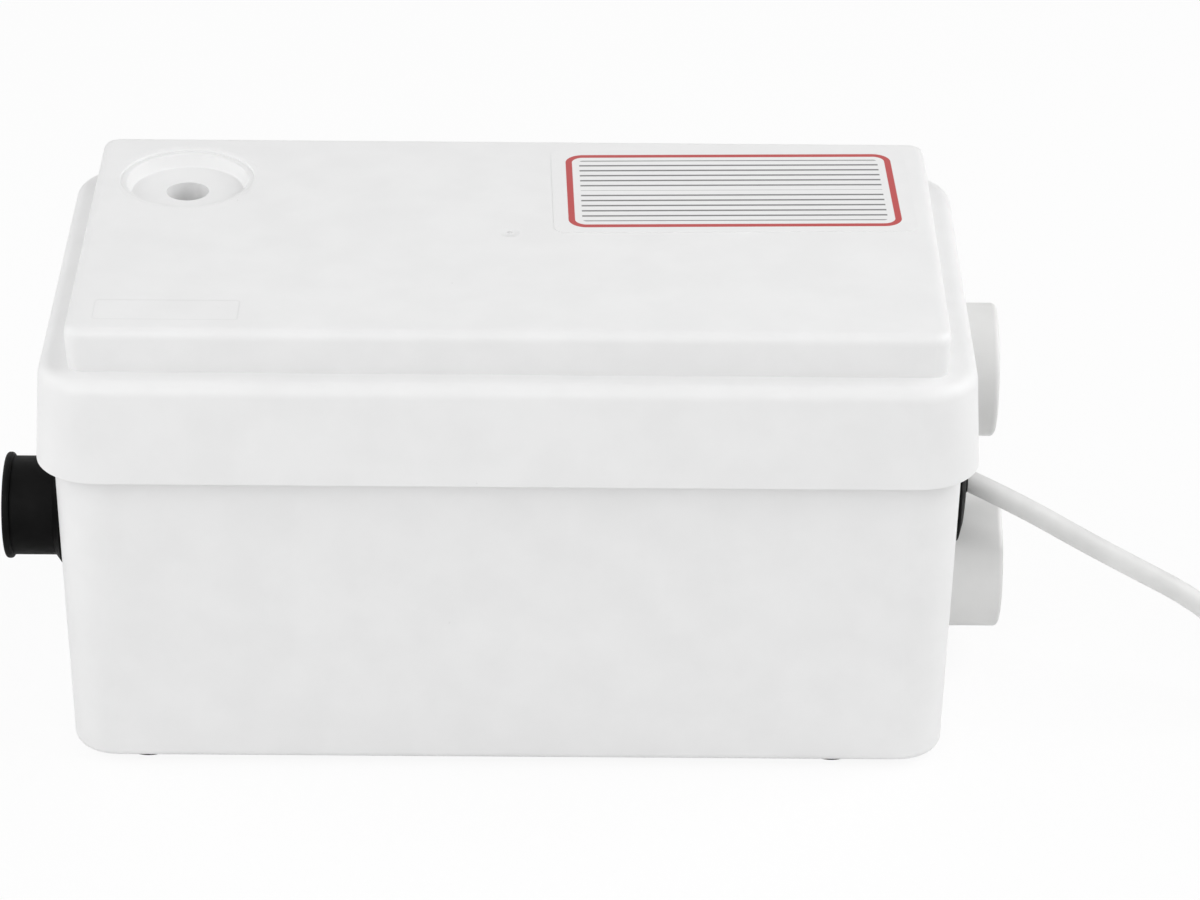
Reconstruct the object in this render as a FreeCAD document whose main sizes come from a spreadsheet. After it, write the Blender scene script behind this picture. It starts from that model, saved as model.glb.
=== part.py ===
import FreeCAD, Part
import Sketcher
import math
import os

from FreeCAD import Placement, Rotation, Vector

# Grey water pump: a white tapered tank with a stepped lid, a vertical motor pump standing inside,
# a dry switch box, a non-return valve in the discharge, two capped inlets and a mains lead.
# Millimetres. X runs along the case, Y to its back, Z up. The origin is on the floor, under
# the middle of the case.

DRIVING_SIZES = [
    ("case_length", 299.0, "lid skirt outside, along X, at its lower edge"),
    ("case_width", 166.9, "lid skirt outside, along Y, at its lower edge"),
    ("case_top", 157.5, "top face of the lid above the floor"),
    ("overall_length", 328.8, "from the discharge sleeve's end to the inlet caps' ends"),
    ("skirt_bottom", 109.1, "lower edge of the lid skirt above the floor"),
    ("ledge_top", 142.8, "ledge round the raised panel above the floor"),
    ("lid_wall", 2.5, "wall of the lid"),
    ("lid_draft", 1.95, "how far each skirt side leans in up to the ledge"),
    ("lid_corner", 20.0, "plan corner of the skirt"),
    ("ledge_round", 4.5, "rounded edge between skirt and ledge"),
    ("ledge_width", 7.9, "flat ledge from the skirt to the raised panel"),
    ("panel_draft", 0.9, "how far each panel side leans in"),
    ("panel_corner", 5.5, "plan corner of the raised panel"),
    ("panel_round", 3.4, "rounded edge of the raised panel"),
    ("vent_left", 108.2, "vent recess left of the middle"),
    ("vent_back", 40.8, "vent recess behind the middle"),
    ("vent_rim_radius", 22.1, "mouth of the vent recess"),
    ("vent_lip_width", 1.8, "sloping lip round the vent's mouth"),
    ("vent_lip_drop", 0.5, "fall of the sloping lip"),
    ("vent_lip_blend", 3.0, "rounded start of the sloping lip"),
    ("vent_step_radius", 20.2, "second edge of the vent recess"),
    ("vent_floor_radius", 18.8, "floor of the vent recess"),
    ("vent_step_depth", 1.2, "first step of the vent recess"),
    ("vent_depth", 5.6, "floor of the vent recess under the panel"),
    ("vent_lip_round", 0.6, "rounded lips and corner of the vent recess"),
    ("vent_hole_radius", 7.04, "vent hole"),
    ("vent_tube_wall", 2.4, "wall of the vent tube"),
    ("vent_tube_length", 22.0, "vent tube under the recess floor"),
    ("tank_wall", 3.0, "wall of the tank"),
    ("tank_floor", 3.0, "floor of the tank"),
    ("tank_draft", 2.6, "how far each tank side leans in down to the floor"),
    ("tank_corner", 15.0, "plan corner of the tank"),
    ("tank_round", 2.5, "rounded edge round the tank's underside"),
    ("rim_height", 134.0, "top edge of the tank above the floor"),
    ("rim_gap_side", 0.3, "lid to tank rim at the short sides"),
    ("rim_gap_front", 2.5, "lid to tank rim at the long sides"),
    ("gasket_height", 3.3, "gasket between tank rim and lid"),
    ("foot_height", 2.15, "feet below the tank's underside"),
    ("foot_radius", 9.0, "rubber foot"),
    ("foot_seat", 1.2, "foot let into the tank's underside"),
    ("foot_left", 117.7, "left feet from the middle"),
    ("foot_right", 106.0, "right feet from the middle"),
    ("foot_across", 61.0, "feet in front of and behind the middle"),
    ("inlet_radius", 20.0, "inlet spigot outside, for 40 mm waste pipe"),
    ("inlet_wall", 3.0, "wall of the inlet spigots"),
    ("upper_inlet_back", 48.0, "upper inlet behind the middle"),
    ("upper_inlet_height", 83.7, "upper inlet above the floor"),
    ("lower_inlet_back", 3.0, "lower inlet behind the middle"),
    ("lower_inlet_height", 35.1, "lower inlet above the floor"),
    ("cap_length", 18.0, "inlet cap along its axis"),
    ("cap_wall", 2.45, "wall of the inlet cap"),
    ("cap_end", 2.5, "end wall of the inlet cap"),
    ("cap_round", 1.8, "rounded outer edge of the inlet cap"),
    ("cap_gap", 0.3, "radial gap between cap and spigot"),
    ("cap_end_gap", 1.0, "gap between spigot end and cap"),
    ("ring_groove", 1.2, "depth of the seal ring's groove"),
    ("ring_width", 3.0, "width of the seal ring"),
    ("ring_inset", 4.0, "seal ring behind the spigot's end"),
    ("boss_radius", 21.5, "flat boss on the tank wall round each side fitting"),
    ("outlet_front", 31.0, "discharge in front of the middle"),
    ("outlet_height", 72.1, "discharge above the floor"),
    ("sleeve_radius", 16.2, "rubber discharge sleeve outside"),
    ("sleeve_bore", 13.1, "bore of the discharge sleeve"),
    ("sleeve_flange", 19.0, "flange of the discharge sleeve"),
    ("sleeve_bead", 1.2, "end bead above the sleeve"),
    ("sleeve_bead_width", 2.6, "end bead along the sleeve"),
    ("nose_radius", 14.0, "valve nose inside the sleeve"),
    ("nose_length", 11.4, "valve nose inside the sleeve, along it"),
    ("valve_radius", 20.0, "check valve chamber outside"),
    ("valve_wall", 2.5, "wall of the check valve chamber"),
    ("valve_chamber", 29.5, "check valve chamber inside, along its axis"),
    ("valve_seat_radius", 11.0, "hole in the check valve's seat"),
    ("check_flap_radius", 12.6, "check valve flap"),
    ("check_flap_pin_offset", 14.5, "check valve pin above its axis"),
    ("inlet_flap_radius", 18.0, "lower inlet flap"),
    ("inlet_flap_pin_offset", 20.3, "lower inlet pin above the inlet's axis"),
    ("flap_thickness", 2.0, "valve flap"),
    ("flap_gap", 0.3, "closed flap to its seat"),
    ("flap_lug_radius", 2.0, "hinge lug of a flap"),
    ("flap_pin_stand", 2.6, "flap hinge pin in front of the seat"),
    ("flap_lug_width", 8.0, "hinge lug of a flap along its pin"),
    ("flap_pin_radius", 1.0, "flap hinge pin"),
    ("pin_clearance", 0.06, "hinge lug round its pin"),
    ("ear_width", 2.5, "ear that carries a flap pin"),
    ("ear_reach", 1.7, "ear above, below and in front of its flap pin"),
    ("hose_bore", 10.5, "discharge hose bore radius"),
    ("hose_wall", 2.5, "wall of the discharge hose"),
    ("hose_bend", 19.0, "bend radius of the discharge hose"),
    ("hose_overlap", 9.0, "hose pushed over a nozzle"),
    ("clip_width", 7.0, "hose clip"),
    ("clip_thickness", 1.0, "hose clip band"),
    ("nozzle_bore", 8.5, "bore radius of the pump and valve nozzles"),
    ("pump_left", 5.0, "pump axis left of the middle"),
    ("casing_radius", 42.0, "pump casing outside"),
    ("casing_wall", 3.0, "wall of the pump casing"),
    ("casing_bottom", 12.0, "pump casing above the floor"),
    ("casing_height", 24.0, "pump casing along its axis"),
    ("eye_radius", 14.0, "suction hole in the pump casing"),
    ("strainer_radius", 20.0, "suction strainer"),
    ("strainer_height", 4.4, "suction strainer below the casing"),
    ("lug_circle", 49.0, "pump feet round the pump axis"),
    ("lug_width", 12.0, "pump foot lug"),
    ("lug_thickness", 4.0, "pump foot lug"),
    ("post_radius", 6.0, "floor post under a pump foot"),
    ("post_height", 7.0, "floor post above the tank floor"),
    ("screw_radius", 2.0, "screws"),
    ("impeller_radius", 34.0, "impeller"),
    ("impeller_gap", 2.0, "impeller above the casing floor"),
    ("impeller_height", 13.0, "impeller"),
    ("impeller_disc", 2.5, "impeller back disc"),
    ("shaft_radius", 4.0, "motor shaft"),
    ("base_radius", 47.0, "motor base and cover"),
    ("base_thickness", 6.0, "motor base plate"),
    ("can_radius", 40.0, "motor can outside"),
    ("can_wall", 2.5, "wall of the motor can"),
    ("can_height", 78.0, "motor can"),
    ("cover_thickness", 5.0, "motor cover"),
    ("bearing_radius", 11.0, "ball bearing outside"),
    ("bearing_width", 7.0, "ball bearing"),
    ("running_clearance", 0.05, "shaft in its bearings"),
    ("bolt_circle", 43.0, "tie bolts round the motor"),
    ("stack_height", 38.0, "stator and rotor core"),
    ("rotor_radius", 20.5, "rotor core"),
    ("air_gap", 0.5, "rotor to stator"),
    ("slot_radius", 3.2, "winding slot in the stator"),
    ("slot_circle", 27.5, "winding slots round the shaft"),
    ("box_left", 74.0, "switch box, left side from the middle"),
    ("box_length", 63.0, "switch box along X"),
    ("box_front", 62.0, "switch box, front in front of the middle"),
    ("box_width", 80.0, "switch box along Y"),
    ("box_bottom", 60.0, "switch box above the floor"),
    ("box_height", 44.0, "switch box without its cover"),
    ("box_wall", 2.5, "wall of the switch box"),
    ("box_floor", 2.0, "floor of the switch box"),
    ("box_corner", 5.0, "plan corner of the switch box"),
    ("box_post_inset", 7.5, "switch box posts from its left side"),
    ("box_post_end", 13.0, "switch box posts from its front and its back"),
    ("capacitor_radius", 14.0, "run capacitor"),
    ("capacitor_inset", 21.0, "run capacitor from the left side of the switch box"),
    ("capacitor_front", 22.0, "run capacitor from the front of the switch box"),
    ("capacitor_back", 10.0, "run capacitor from the back of the switch box"),
    ("motor_lead_radius", 3.0, "lead from the motor to the switch box"),
    ("motor_lead_right", 25.0, "lead on the motor cover, from the pump axis"),
    ("motor_lead_front", 22.0, "lead on the motor cover, in front of the middle"),
    ("motor_lead_drop", 5.5, "top of that lead under the lid"),
    ("motor_lead_inset", 18.0, "that lead on the switch box, from its left side"),
    ("motor_lead_end", 37.0, "that lead on the switch box, from its front"),
    ("cover_height", 3.0, "switch box cover"),
    ("gland_front", 14.5, "cable gland in front of the middle"),
    ("gland_height", 75.8, "cable gland above the floor"),
    ("gland_radius", 21.0, "gland flange"),
    ("gland_rise", 5.3, "gland flange out from the tank wall"),
    ("gland_rim", 2.9, "gland flange at its rim"),
    ("gland_shoulder_radius", 16.0, "shoulder of the gland's dome"),
    ("gland_shoulder", 4.3, "gland flange at its shoulder"),
    ("gland_crown_radius", 9.0, "flat crown of the gland's dome"),
    ("gland_neck", 7.0, "gland neck through both walls"),
    ("gland_nut", 10.5, "gland nut"),
    ("cable_radius", 3.65, "mains lead"),
    ("bell_left", 112.0, "pressure bell from the middle"),
    ("bell_front", 46.0, "pressure bell in front of the middle"),
    ("bell_radius", 14.0, "pressure bell outside"),
    ("bell_wall", 2.0, "wall of the pressure bell"),
    ("bell_bottom", 12.0, "open end of the pressure bell above the floor"),
    ("bell_flange", 17.0, "pressure bell flange"),
    ("switch_drop", 12.0, "switch chamber under the switch box"),
    ("membrane_thickness", 1.0, "switch membrane"),
    ("plunger_travel", 1.5, "travel of the pressure switch plunger"),
    ("filter_radius", 22.0, "vent filter basket"),
    ("filter_height", 22.0, "vent filter basket"),
    ("label_length", 118.6, "blank sticker along X"),
    ("label_width", 63.4, "blank sticker along Y"),
    ("label_right", 72.5, "blank sticker right of the middle"),
    ("label_back", 32.8, "blank sticker behind the middle"),
    ("label_turn", 1.55, "blank sticker, turned in degrees"),
    ("label_thickness", 0.2, "blank sticker"),
    ("plug_radius", 18.5, "mains plug"),
    ("plug_length", 50.0, "mains plug without its pins"),
    ("plug_pin_radius", 2.4, "plug pin"),
    ("plug_pin_length", 19.0, "plug pin"),
    ("plug_pin_spacing", 19.0, "plug pins, one from the other"),
    ("coil_turns", 4.25, "turns of the put-away coil"),
    ("coil_pitch", 8.0, "one turn of the coil to the next, and one layer to the next"),
    ("coil_mid_radius", 38.0, "coil at the middle of its turns"),
]

doc = FreeCAD.newDocument("grey_water_pump")


class Size:
    """A length that knows its number and the sheet formula that gives it."""

    def __init__(self, number, formula=None):
        self.number = float(number)
        self.formula = formula or f"({self.number!r})"
        self.bound = formula is not None

    def joined(self, sign, other, number):
        bound = self.formula if self.bound or other.bound else None
        return Size(number, bound and f"({self.formula} {sign} {other.formula})")

    def __add__(self, other):
        other = size(other)
        return self.joined("+", other, self.number + other.number)

    def __sub__(self, other):
        other = size(other)
        return self.joined("-", other, self.number - other.number)

    def __mul__(self, other):
        other = size(other)
        return self.joined("*", other, self.number * other.number)

    def __truediv__(self, other):
        other = size(other)
        return self.joined("/", other, self.number / other.number)

    def __rsub__(self, other):
        return size(other) - self

    def __neg__(self):
        return size(0) - self

    def __float__(self):
        return self.number

    __radd__ = __add__
    __rmul__ = __mul__


def size(value):
    return value if isinstance(value, Size) else Size(value)


class Sheet:
    """The spreadsheet of driving sizes; each alias is also a name of this object."""

    def __init__(self, rows):
        cells = doc.addObject("Spreadsheet::Sheet", "Sizes")
        for row, (name, number, meaning) in enumerate(rows, start=1):
            cells.set(f"A{row}", name)
            cells.set(f"B{row}", str(number))
            cells.set(f"C{row}", meaning)
            cells.setAlias(f"B{row}", name)
            setattr(self, name, Size(number, f"Sizes.{name}"))


S = Sheet(DRIVING_SIZES)
doc.recompute()

# Places that several pieces share, each worked out from the driving sizes.
FITTING_END = S.overall_length / 2
RIM_LENGTH = S.case_length - 2 * (S.lid_wall + S.lid_draft + S.rim_gap_side)
RIM_WIDTH = S.case_width - 2 * (S.lid_wall + S.lid_draft + S.rim_gap_front)
RIM_CORNER = S.tank_corner + S.tank_draft
RIM_FACE = RIM_LENGTH / 2
BASE_LENGTH = RIM_LENGTH - 2 * S.tank_draft
BASE_WIDTH = RIM_WIDTH - 2 * S.tank_draft
INNER_FACE = BASE_LENGTH / 2 - S.tank_wall
TANK_BOTTOM = S.foot_height
FLOOR_TOP = S.foot_height + S.tank_floor
COLLAR_BOTTOM = S.skirt_bottom + 1
SPIGOT_END = FITTING_END - S.cap_end - S.cap_end_gap
PANEL_LENGTH = S.case_length - 2 * (S.lid_draft + S.ledge_width)
PANEL_WIDTH = S.case_width - 2 * (S.lid_draft + S.ledge_width)
PUMP_X = -S.pump_left
CASING_TOP = S.casing_bottom + S.casing_height
BASE_TOP = CASING_TOP + S.base_thickness
CAN_TOP = BASE_TOP + S.can_height
NOZZLE_HEIGHT = S.casing_bottom + S.casing_height / 2
POST_TOP = FLOOR_TOP + S.post_height
VALVE_NOSE_TIP = INNER_FACE + S.nose_length
VALVE_FRONT = VALVE_NOSE_TIP - S.nose_length - 3
VALVE_BACK = VALVE_FRONT - S.valve_wall - S.valve_chamber
VALVE_SEAT = VALVE_BACK + 3
BOX_TOP = S.box_bottom + S.box_height
BOX_FLOOR_TOP = S.box_bottom + S.box_floor
MEMBRANE_TOP = S.box_bottom - S.switch_drop
RECESS_FLOOR = S.case_top - S.vent_depth
VENT_TUBE_BOTTOM = RECESS_FLOOR - S.vent_tube_length
INLETS = (
    ("upper_inlet", S.upper_inlet_back, S.upper_inlet_height),
    ("lower_inlet", S.lower_inlet_back, S.lower_inlet_height),
)

UPRIGHT = Rotation()
ALONG_X = Rotation(Vector(0, 0, 1), Vector(1, 0, 0))
AGAINST_X = Rotation(Vector(0, 0, 1), Vector(-1, 0, 0))
ALONG_Y = Rotation(Vector(0, 0, 1), Vector(0, 1, 0))

sub_parts = []


def bind(thing, path, value):
    """Set a property from the sheet where the value comes from it, or as a plain number."""
    thing.setExpression(path, size(value).formula)


def keep(thing):
    """List a finished sub-part; its Label is its node's name."""
    sub_parts.append(thing)
    return thing


def place(thing, x=0, y=0, z=0, turn=UPRIGHT):
    thing.Placement = Placement(Vector(0, 0, 0), turn)
    for axis, value in (("x", x), ("y", y), ("z", z)):
        bind(thing, f".Placement.Base.{axis}", value)
    return thing


def new_body(label):
    body = doc.addObject("PartDesign::Body", label)
    body.Label = label
    return body


def new_sketch(body, plane, along=0, across=0, up=0):
    """A sketch on one of the body's own planes: along its normal, then across and up in it."""
    sketch = body.newObject("Sketcher::SketchObject", f"{body.Name}_sketch")
    for item in body.Origin.OriginFeatures:
        if item.Role == plane:
            sketch.AttachmentSupport = (item, [""])
    sketch.MapMode = "FlatFace"
    for axis, value in (("x", across), ("y", up), ("z", along)):
        bind(sketch, f".AttachmentOffset.Base.{axis}", value)
    return sketch


def hold(sketch, number, point, x, y):
    """Hold one point of a sketch curve at the sizes x and y from the sketch's origin."""
    for kind, axis, value in (("DistanceX", -2, size(x)), ("DistanceY", -1, size(y))):
        if abs(value.number) < 1e-9:
            sketch.addConstraint(Sketcher.Constraint("PointOnObject", number, point, axis))
            continue
        ends = (-1, 1, number, point) if value.number > 0 else (number, point, -1, 1)
        value = value if value.number > 0 else -value
        index = sketch.addConstraint(Sketcher.Constraint(kind, *ends, value.number))
        sketch.setExpression(f"Constraints[{index}]", value.formula)


def polygon(sketch, points):
    """A closed outline of straight lines through points given as sizes."""
    first = sketch.GeometryCount
    corners = [Vector(float(x), float(y), 0) for x, y in points]
    count = len(corners)
    for number in range(count):
        sketch.addGeometry(Part.LineSegment(corners[number], corners[(number + 1) % count]))
    for number in range(count):
        follower = first + (number + 1) % count
        sketch.addConstraint(Sketcher.Constraint("Coincident", first + number, 2, follower, 1))
        hold(sketch, first + number, 1, *points[number])
    return sketch


def circle(sketch, radius, x=0, y=0):
    centre = Vector(float(x), float(y), 0)
    number = sketch.addGeometry(Part.Circle(centre, Vector(0, 0, 1), float(radius)))
    hold(sketch, number, 3, x, y)
    index = sketch.addConstraint(Sketcher.Constraint("Radius", number, float(radius)))
    sketch.setExpression(f"Constraints[{index}]", size(radius).formula)
    return sketch


def rectangle(sketch, low, high):
    return polygon(sketch, [low, (high[0], low[1]), high, (low[0], high[1])])


def rounded_rectangle(sketch, length, width, radius, x=0, y=0):
    """Four lines and four quarter circles round the point x, y."""
    first = sketch.GeometryCount
    length, width, radius = size(length), size(width), size(radius)
    corners = [(1, -1, -90), (1, 1, 0), (-1, 1, 90), (-1, -1, 180)]
    stations = []
    for side_x, side_y, start in corners:
        centre_x = x + side_x * (length / 2 - radius)
        centre_y = y + side_y * (width / 2 - radius)
        edge_x = x + side_x * length / 2
        edge_y = y + side_y * width / 2
        pair = [(centre_x, edge_y), (edge_x, centre_y)]
        if start in (0, 180):
            pair.reverse()
        stations.append((pair, Vector(float(centre_x), float(centre_y), 0), start))
    for number, (pair, centre, start) in enumerate(stations):
        before = stations[number - 1][0][1]
        ends = [Vector(float(px), float(py), 0) for px, py in (before, pair[0])]
        line = sketch.addGeometry(Part.LineSegment(*ends))
        round_ = Part.Circle(centre, Vector(0, 0, 1), radius.number)
        turn = math.radians(start)
        sketch.addGeometry(Part.ArcOfCircle(round_, turn, turn + math.pi / 2))
        hold(sketch, line, 1, *before)
        hold(sketch, line, 2, *pair[0])
    for number in range(0, 8, 2):
        line, arc, follower = first + number, first + number + 1, first + (number + 2) % 8
        sketch.addConstraint(Sketcher.Constraint("Coincident", line, 2, arc, 1))
        sketch.addConstraint(Sketcher.Constraint("Coincident", arc, 2, follower, 1))
        index = sketch.addConstraint(Sketcher.Constraint("Radius", arc, radius.number))
        sketch.setExpression(f"Constraints[{index}]", radius.formula)
    return sketch


def feature(body, kind, **settings):
    made = body.newObject(f"PartDesign::{kind}", f"{body.Name}_{kind.lower()}")
    for name, value in settings.items():
        if isinstance(value, Size):
            bind(made, name, value)
        else:
            setattr(made, name, value)
    body.Tip = made
    return made


def pad(body, sketch, length, **settings):
    return feature(body, "Pad", Profile=sketch, Length=size(length), **settings)


def pocket(body, sketch, length, **settings):
    """Cut the sketch's shape out of the body, and check that something was cut."""
    doc.recompute()
    before = body.Shape.Volume
    made = feature(body, "Pocket", Profile=sketch, Length=size(length), **settings)
    doc.recompute()
    if body.Shape.Volume > before - 1e-3:
        raise RuntimeError(f"a cut in {body.Label} removes nothing")
    return made


def drafted_pad(body, sketch, length, lean, fixed_height, **settings):
    """A pad whose sides lean by the size lean over its length; its outline is kept at one height."""
    length, lean = size(length), size(lean)
    made = pad(body, sketch, length)
    doc.recompute()
    bottom = sketch.Placement.Base.z
    level = at_height(fixed_height)
    sides = []
    fixed = []
    for number, face in enumerate(made.Shape.Faces, start=1):
        box = face.BoundBox
        if level(face):
            fixed = [f"Face{number}"]
        elif box.ZLength > 1 and box.ZMax > bottom + length.number - 0.01:
            sides.append(f"Face{number}")
    draft = feature(body, "Draft", Base=(made, sides), NeutralPlane=(made, fixed), **settings)
    draft.setExpression("Angle", f"atan({lean.formula} / {length.formula})")
    return draft


def loft(body, kind, lower, upper):
    return feature(body, kind, Profile=lower, Sections=[upper], Ruled=True)


def pattern(body, original, axis, count):
    made = feature(body, "PolarPattern", Originals=[original], Axis=axis)
    made.Angle = 360
    made.Occurrences = count
    return made


def round_edges(body, radius, chosen):
    """Round the edges of the body that the test picks."""
    doc.recompute()
    base = body.Tip
    names = [f"Edge{n}" for n, edge in enumerate(base.Shape.Edges, start=1) if chosen(edge)]
    if not names:
        raise RuntimeError(f"no edge to round on {body.Label}")
    return feature(body, "Fillet", Base=(base, names), Radius=size(radius))


def at_height(value):
    """Edges that lie wholly at one height."""
    low, high = float(value) - 0.01, float(value) + 0.01
    return lambda edge: low < edge.BoundBox.ZMin and edge.BoundBox.ZMax < high


def ring_edge(radius, height):
    """The circular edge of that radius at that height on the piece's own axis."""
    level = at_height(height)
    return lambda edge: level(edge) and abs(edge.BoundBox.XLength / 2 - float(radius)) < 0.01


def turned(label, profile, rounds=(), **where):
    """A piece turned about its own Z axis from (radius, height) points, then placed."""
    body = new_body(label)
    sketch = polygon(new_sketch(body, "XZ_Plane"), profile)
    feature(body, "Revolution", Profile=sketch, ReferenceAxis=(sketch, ["V_Axis"]), Angle=360.0)
    for radius, edge_radius, edge_height in rounds:
        round_edges(body, radius, ring_edge(edge_radius, edge_height))
    return keep(place(body, **where))


def tube(label, outer, inner, length, **where):
    return turned(label, [(inner, 0), (outer, 0), (outer, length), (inner, length)], **where)


def rod(label, radius, length, **where):
    return turned(label, [(0, 0), (radius, 0), (radius, length), (0, length)], **where)


def group(label, makers):
    """Identical loose pieces under one name, each a solid of its own."""
    compound = doc.addObject("Part::Compound", label)
    compound.Label = label
    compound.Links = makers
    return keep(compound)


def round_places(circle_radius, angles):
    """(x, y) sizes on a circle about the pump's axis."""
    spots = []
    for angle in angles:
        turn = math.radians(angle)
        spots.append((PUMP_X + circle_radius * math.cos(turn), circle_radius * math.sin(turn)))
    return spots


PUMP_FEET = round_places(S.lug_circle, (60, 180, 300))
TIE_BOLTS = round_places(S.bolt_circle, (45, 135, 225, 315))
BOX_POSTS = (
    (S.box_left + S.box_post_inset, -S.box_front + S.box_post_end),
    (S.box_left + S.box_post_inset, -S.box_front + S.box_width - S.box_post_end),
)


def screws(label, places, top, length, head=3.0):
    """Pan head screws with their heads on the height top, pointing down."""
    pieces = []
    for number, (x, y) in enumerate(places):
        shank = doc.addObject("Part::Cylinder", f"{label}_shank_{number}")
        bind(shank, "Radius", S.screw_radius)
        bind(shank, "Height", size(length))
        place(shank, x, y, top - length)
        cap = doc.addObject("Part::Cylinder", f"{label}_head_{number}")
        bind(cap, "Radius", S.screw_radius * 1.9)
        bind(cap, "Height", size(head))
        place(cap, x, y, top)
        screw = doc.addObject("Part::Fuse", f"{label}_{number}")
        screw.Base = shank
        screw.Tool = cap
        pieces.append(screw)
    return pieces


def make_tank():
    body = new_body("tank")

    def foot(height, inset=0):
        length, width = BASE_LENGTH - 2 * inset, BASE_WIDTH - 2 * inset
        sketch = new_sketch(body, "XY_Plane", height)
        return rounded_rectangle(sketch, length, width, S.tank_corner - inset)

    def rim(height, inset=0):
        length, width = RIM_LENGTH - 2 * inset, RIM_WIDTH - 2 * inset
        sketch = new_sketch(body, "XY_Plane", height)
        return rounded_rectangle(sketch, length, width, RIM_CORNER - inset)

    height = COLLAR_BOTTOM - TANK_BOTTOM
    drafted_pad(body, foot(TANK_BOTTOM), height, S.tank_draft, TANK_BOTTOM, Reversed=True)
    round_edges(body, S.tank_round, at_height(TANK_BOTTOM))
    pad(body, rim(COLLAR_BOTTOM), S.rim_height - COLLAR_BOTTOM)
    loft(body, "SubtractiveLoft", foot(FLOOR_TOP, S.tank_wall), rim(COLLAR_BOTTOM, S.tank_wall))
    pocket(body, rim(S.rim_height, S.tank_wall), S.rim_height - COLLAR_BOTTOM)

    for name, back, height in INLETS:
        spigot = circle(new_sketch(body, "YZ_Plane", INNER_FACE), S.inlet_radius, back, height)
        pad(body, spigot, SPIGOT_END - INNER_FACE)
        bore = new_sketch(body, "YZ_Plane", SPIGOT_END)
        circle(bore, S.inlet_radius - S.inlet_wall, back, height)
        pocket(body, bore, SPIGOT_END - INNER_FACE + 1)
        groove = new_sketch(body, "YZ_Plane", SPIGOT_END - S.ring_inset)
        circle(groove, S.inlet_radius - S.ring_groove, back, height)
        circle(groove, S.inlet_radius + 1, back, height)
        pocket(body, groove, S.ring_width)

    sides = (
        (-1, -S.outlet_front, S.outlet_height, S.sleeve_radius),
        (1, -S.gland_front, S.gland_height, S.gland_neck + 0.2),
    )
    for side, back, height, hole in sides:
        boss = new_sketch(body, "YZ_Plane", side * INNER_FACE)
        circle(boss, S.boss_radius, back, height)
        pad(body, boss, RIM_FACE - INNER_FACE, Reversed=side < 0)
        opening = new_sketch(body, "YZ_Plane", side * RIM_FACE)
        circle(opening, hole, back, height)
        pocket(body, opening, RIM_FACE - INNER_FACE + 1, Reversed=side < 0)

    # floor posts for the pump and the switch box, and hinge ears over the lower inlet
    posts = new_sketch(body, "XY_Plane", FLOOR_TOP - 1)
    for x, y in PUMP_FEET:
        circle(posts, S.post_radius, x, y)
    pad(body, posts, S.post_height + 1)
    legs = new_sketch(body, "XY_Plane", FLOOR_TOP - 1)
    for x, y in BOX_POSTS:
        circle(legs, S.post_radius, x, y)
    pad(body, legs, S.box_bottom - FLOOR_TOP + 1)
    pin_x = INNER_FACE - S.flap_pin_stand
    pin_z = S.lower_inlet_height + S.inlet_flap_pin_offset
    for side in (-1, 1):
        inner = S.lower_inlet_back + side * (S.flap_lug_width / 2 + 0.3)
        ears = new_sketch(body, "XZ_Plane", -inner)
        low = (pin_x - S.ear_reach, pin_z - S.ear_reach)
        rectangle(ears, low, (INNER_FACE + 2.5, pin_z + S.ear_reach))
        pad(body, ears, S.ear_width, Reversed=side > 0)
    pin_hole = new_sketch(body, "XZ_Plane", -(S.lower_inlet_back + 10))
    circle(pin_hole, S.flap_pin_radius, pin_x, pin_z)
    pocket(body, pin_hole, 20, Reversed=True)

    # screw holes in the posts, and the seats of the feet in the underside
    screw_holes = new_sketch(body, "XY_Plane", POST_TOP)
    for x, y in PUMP_FEET:
        circle(screw_holes, S.screw_radius, x, y)
    pocket(body, screw_holes, S.post_height)
    leg_holes = new_sketch(body, "XY_Plane", S.box_bottom)
    for x, y in BOX_POSTS:
        circle(leg_holes, S.screw_radius, x, y)
    pocket(body, leg_holes, 10)
    seats = new_sketch(body, "XY_Plane", TANK_BOTTOM)
    for x in (-S.foot_left, S.foot_right):
        for y in (-S.foot_across, S.foot_across):
            circle(seats, S.foot_radius + 0.2, x, y)
    pocket(body, seats, S.foot_seat, Reversed=True)
    return keep(body)


def make_feet():
    sides = (("left", -S.foot_left), ("right", S.foot_right))
    for side, x in sides:
        for end, y in (("front", -S.foot_across), ("rear", S.foot_across)):
            height = S.foot_height + S.foot_seat
            profile = [(0, 0), (S.foot_radius, 0), (S.foot_radius, height), (0, height)]
            rounds = [(0.8, S.foot_radius, 0)]
            turned(f"foot_{end}_{side}", profile, rounds, x=x, y=y)


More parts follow.
